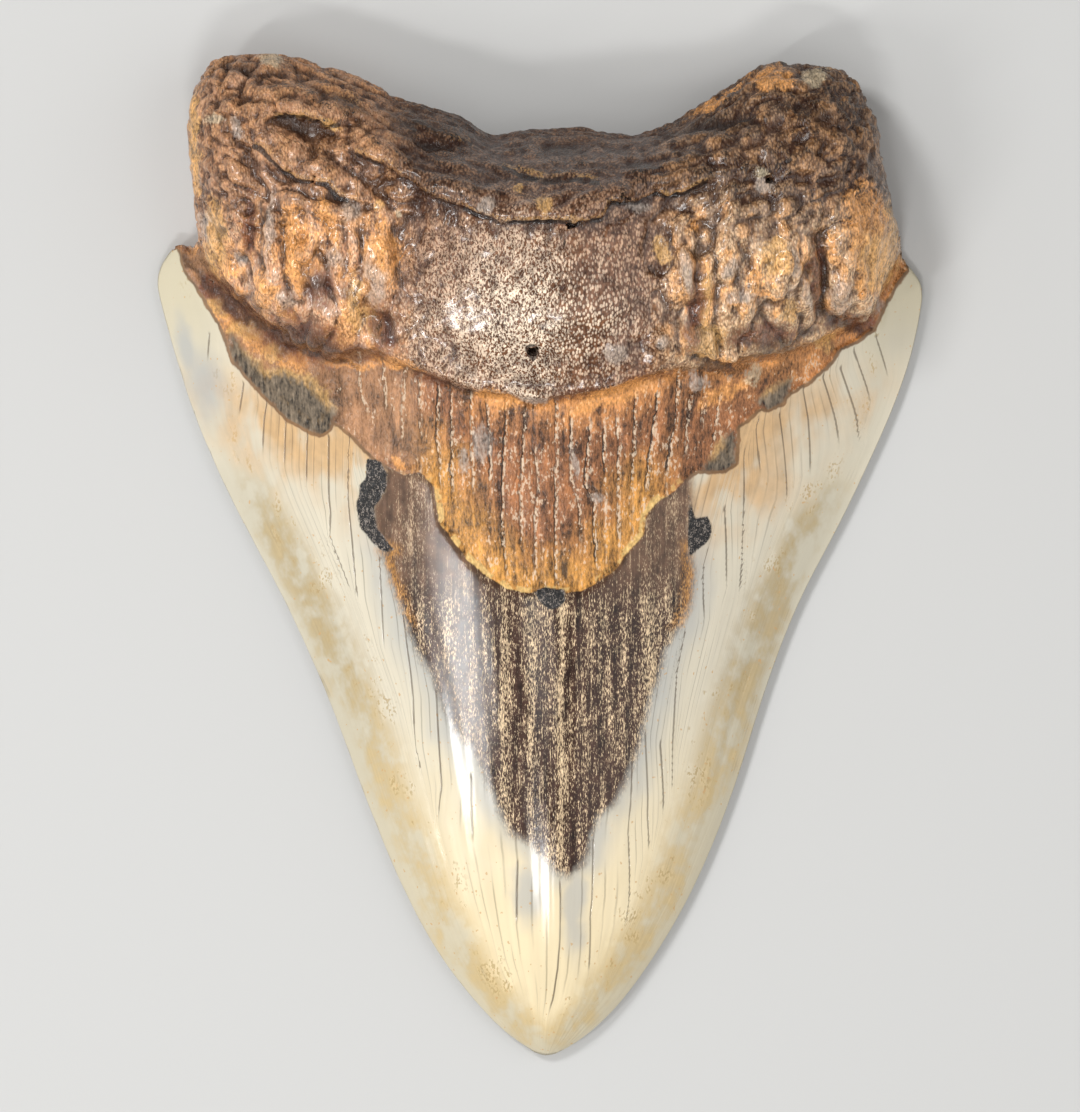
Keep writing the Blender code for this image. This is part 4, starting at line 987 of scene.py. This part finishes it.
def tinted_finish(paint, colours, patterns, finish):
    """The finish with the painted patches laid over it, and painted shade in the crevices, the near-black
    patches and the pits and under the ledges.
    """
    _, _, cloud, patchy, fine = patterns
    ragged = 1.3 * patchy + 0.8 * fine
    colour, roughness, height = finish
    # Of these patches, the grey ones are mostly painted sheen; the rust, ochre and pale ones are colour, but
    # for one ochre ridge that is also a painted highlight.
    for name in ("rust", "ochre", "grey", "pale"):
        mask = paint.step(-0.3, 0.35, paint.field(name) + ragged)
        tint = paint.toned(getattr(colours, name), 0.95 + 2.2 * fine + 1.2 * patchy)
        colour = paint.mix(0.6 * mask, colour, tint)
    # Painted shade: reddish brown along the crevices and the root's lower edge.
    maroon_shade = paint.step(-0.5, 0.4, paint.field("maroon_shade") + 1.4 * ragged)
    colour = paint.mix(0.8 * maroon_shade, colour, paint.toned(colours.maroon_shade, 1.0 + 2.5 * fine + 2.0 * patchy))
    # Painted shade: near black in the crevices, the creases between lumps and under the ledges' lips.
    gaps = paint.largest(0.8 * paint.step(0.55, 1.15, paint.field("crevice") + 1.3 * patchy),
                         paint.window(-0.5, -0.1, 0.25, paint.field("ledge") + 0.6 * patchy)
                         * paint.step(-0.15, 0.05, cloud + patchy))
    # Painted shade in the near-black patches.
    gaps = paint.largest(gaps, paint.step(-0.3, 0.7, paint.field("dark_shade") + 1.6 * ragged) * 0.7)
    # Painted shade inside the foramen and pits.
    gaps = paint.largest(gaps, paint.step(-0.1, 0.25, paint.field("hole_shade") + 0.4 * patchy))
    colour = paint.mix(0.85 * gaps, colour, colours.crevice)
    return Finish(colour, roughness, height - 0.12 * gaps)


def tooth_material(colours, sizes):
    """The whole tooth in one material, whose finishes meet along the outlines stored on the mesh."""
    paint = Paint("fossil_tooth")
    patterns = shared_patterns(paint)
    bare, root, lingual = paint.field("bare"), paint.field("root"), paint.field("lingual")
    ragged = 0.6 * patterns.patchy + 0.3 * patterns.fine
    finish = enamel_finish(paint, colours, patterns)
    stain = paint.step(-1.4, 0.5, paint.field("stain") + 2.0 * ragged)
    finish = layered(paint, stain, finish, stain_finish(paint, colours, patterns))
    dentine = layered(paint, paint.step(-0.4, 0.4, root + 2.5 * ragged),
                      bourlette_finish(paint, colours, patterns),
                      root_finish(paint, colours, sizes, patterns))
    # Painted shade: a reddish-brown line along the root's lower edge, below the lobes' step.
    seam_shade = paint.window(-0.4, 0.9, 0.5, root + 2.0 * ragged) * lingual
    seam_shade = seam_shade * paint.step(-0.08, 0.1, patterns.cloud + patterns.patchy)
    dentine = dentine._replace(colour=paint.mix(0.6 * seam_shade, dentine.colour, colours.maroon_shade))
    dentine = tinted_finish(paint, colours, patterns, dentine)
    chipped = paint.window(0.0, 0.6, 0.3, bare + 1.5 * ragged) * paint.step(13, 8, patterns.y)
    chipped = chipped * paint.step(-0.04, 0.08, patterns.cloud + 1.2 * patterns.patchy)
    chips = Finish(paint.toned(colours.chip, 1.0 + 1.6 * patterns.fine + 0.8 * patterns.patchy), 0.4, 0.0)
    dentine = layered(paint, 0.85 * chipped, dentine, chips)
    slate = paint.step(-0.9, 0.3, paint.field("slate") + 3.0 * ragged) * lingual
    dentine = layered(paint, slate, dentine, slate_finish(paint, colours, patterns))
    finish = layered(paint, paint.step(-0.12, 0.12, bare + 0.6 * ragged), finish, dentine)
    black = paint.step(-0.15, 0.15, paint.field("black") + ragged) * lingual
    finish = layered(paint, black, finish, black_finish(paint, colours))
    bump = paint.node("Bump", Height=finish.height, Distance=MM, Strength=1.0)
    wet = paint.step(-0.5, 1.0, root) * paint.step(64, 46, patterns.y) * paint.step(-0.2, 0.1, ragged)
    return paint.finish(Base_Color=finish.colour, Roughness=finish.roughness, Normal=bump.outputs[0],
                        Specular_IOR_Level=0.35, Coat_Weight=0.8 * wet, Coat_Roughness=0.16)


def add_softbox(name, azimuth, elevation, width, height, watts):
    """A rectangular light that looks at the tooth. Azimuth 0 stands beyond the root, and -90 to the left."""
    distance = 0.9
    turn, rise = math.radians(azimuth), math.radians(elevation)
    place = Vector((math.sin(turn) * math.cos(rise), math.cos(turn) * math.cos(rise), math.sin(rise)))
    place = distance * place
    facing = place.to_track_quat("Z", "Y").to_euler()
    bpy.ops.object.light_add(type="AREA", location=place, rotation=facing)
    light = bpy.context.object
    light.name = name
    light.data.shape = "RECTANGLE"
    light.data.size, light.data.size_y, light.data.energy = width, height, watts


class TOOTH_OT_stage(bpy.types.Operator):
    """Lay a pale floor, and set the studio lights and the camera straight above the tooth"""

    bl_idname = "tooth.stage"
    bl_label = "Stage"

    camera_height: bpy.props.FloatProperty(
        name="Camera height", description="How far above the floor the camera looks down from",
        default=2.0, unit="LENGTH", subtype="DISTANCE")
    floor_width: bpy.props.FloatProperty(
        name="Floor width", description="Length of the square floor's sides",
        default=3.0, unit="LENGTH", subtype="DISTANCE")
    view_height: bpy.props.FloatProperty(
        name="View height", description="Length that the picture shows from top to bottom",
        default=155.7 * MM, unit="LENGTH", subtype="DISTANCE")

    def execute(self, context):
        scene = context.scene
        bpy.ops.object.select_all(action="DESELECT")
        just_below = -0.05 * MM
        bpy.ops.mesh.primitive_plane_add(size=self.floor_width, location=(0, 0, just_below))
        floor = context.object
        floor.name = "floor"
        bpy.ops.object.transform_apply(location=True)
        paint = Paint("pale_floor")
        floor.data.materials.append(paint.finish(Base_Color=(0.55, 0.55, 0.54), Roughness=0.6))
        add_softbox("left_softbox", azimuth=-121, elevation=44, width=0.045, height=0.28, watts=1.8)
        add_softbox("left_fill", azimuth=-95, elevation=40, width=1.1, height=1.1, watts=2.3)
        add_softbox("tip_softbox", azimuth=-171, elevation=58.5, width=0.22, height=0.06, watts=1.9)
        add_softbox("sheen_softbox", azimuth=-173, elevation=75, width=0.18, height=0.25, watts=0.5)
        add_softbox("far_softbox", azimuth=-48, elevation=52, width=0.2, height=0.2, watts=3.2)
        add_softbox("right_softbox", azimuth=95, elevation=40, width=1.1, height=1.1, watts=3.9)
        world = bpy.data.worlds.new("studio")
        scene.world = world
        world.use_nodes = True
        background = world.node_tree.nodes["Background"]
        background.inputs["Color"].default_value = (1.0, 0.98, 0.96, 1.0)
        background.inputs["Strength"].default_value = 0.22
        bpy.ops.object.camera_add(location=(0, 0, self.camera_height), rotation=(0, 0, 0))
        camera = context.object
        camera.name = "camera"
        outline_height = 3 * MM
        distance = self.camera_height - outline_height
        camera.data.lens = camera.data.sensor_width * distance / self.view_height
        scene.camera = camera
        scene.view_settings.view_transform = "Standard"
        return {"FINISHED"}


class TOOTH_PT_panel(bpy.types.Panel):
    """Sizes, colours and steps of the tooth"""

    bl_idname = "TOOTH_PT_panel"
    bl_label = "Fossil tooth"
    bl_space_type = "VIEW_3D"
    bl_region_type = "UI"
    bl_category = "Tooth"

    def draw(self, context):
        for group in (context.scene.tooth_sizes, context.scene.tooth_colours):
            for name in group.__annotations__:
                self.layout.prop(group, name)
        for operator in (TOOTH_OT_tooth, TOOTH_OT_stage):
            self.layout.operator(operator.bl_idname)


CLASSES = (ToothSizes, ToothColours, TOOTH_OT_tooth, TOOTH_OT_stage, TOOTH_PT_panel)


def register():
    for cls in CLASSES:
        bpy.utils.register_class(cls)
    bpy.types.Scene.tooth_sizes = bpy.props.PointerProperty(type=ToothSizes)
    bpy.types.Scene.tooth_colours = bpy.props.PointerProperty(type=ToothColours)


def unregister():
    del bpy.types.Scene.tooth_sizes, bpy.types.Scene.tooth_colours
    for cls in reversed(CLASSES):
        bpy.utils.unregister_class(cls)


def main():
    register()
    bpy.ops.tooth.tooth()
    bpy.ops.tooth.stage()


if __name__ == "__main__":
    main()
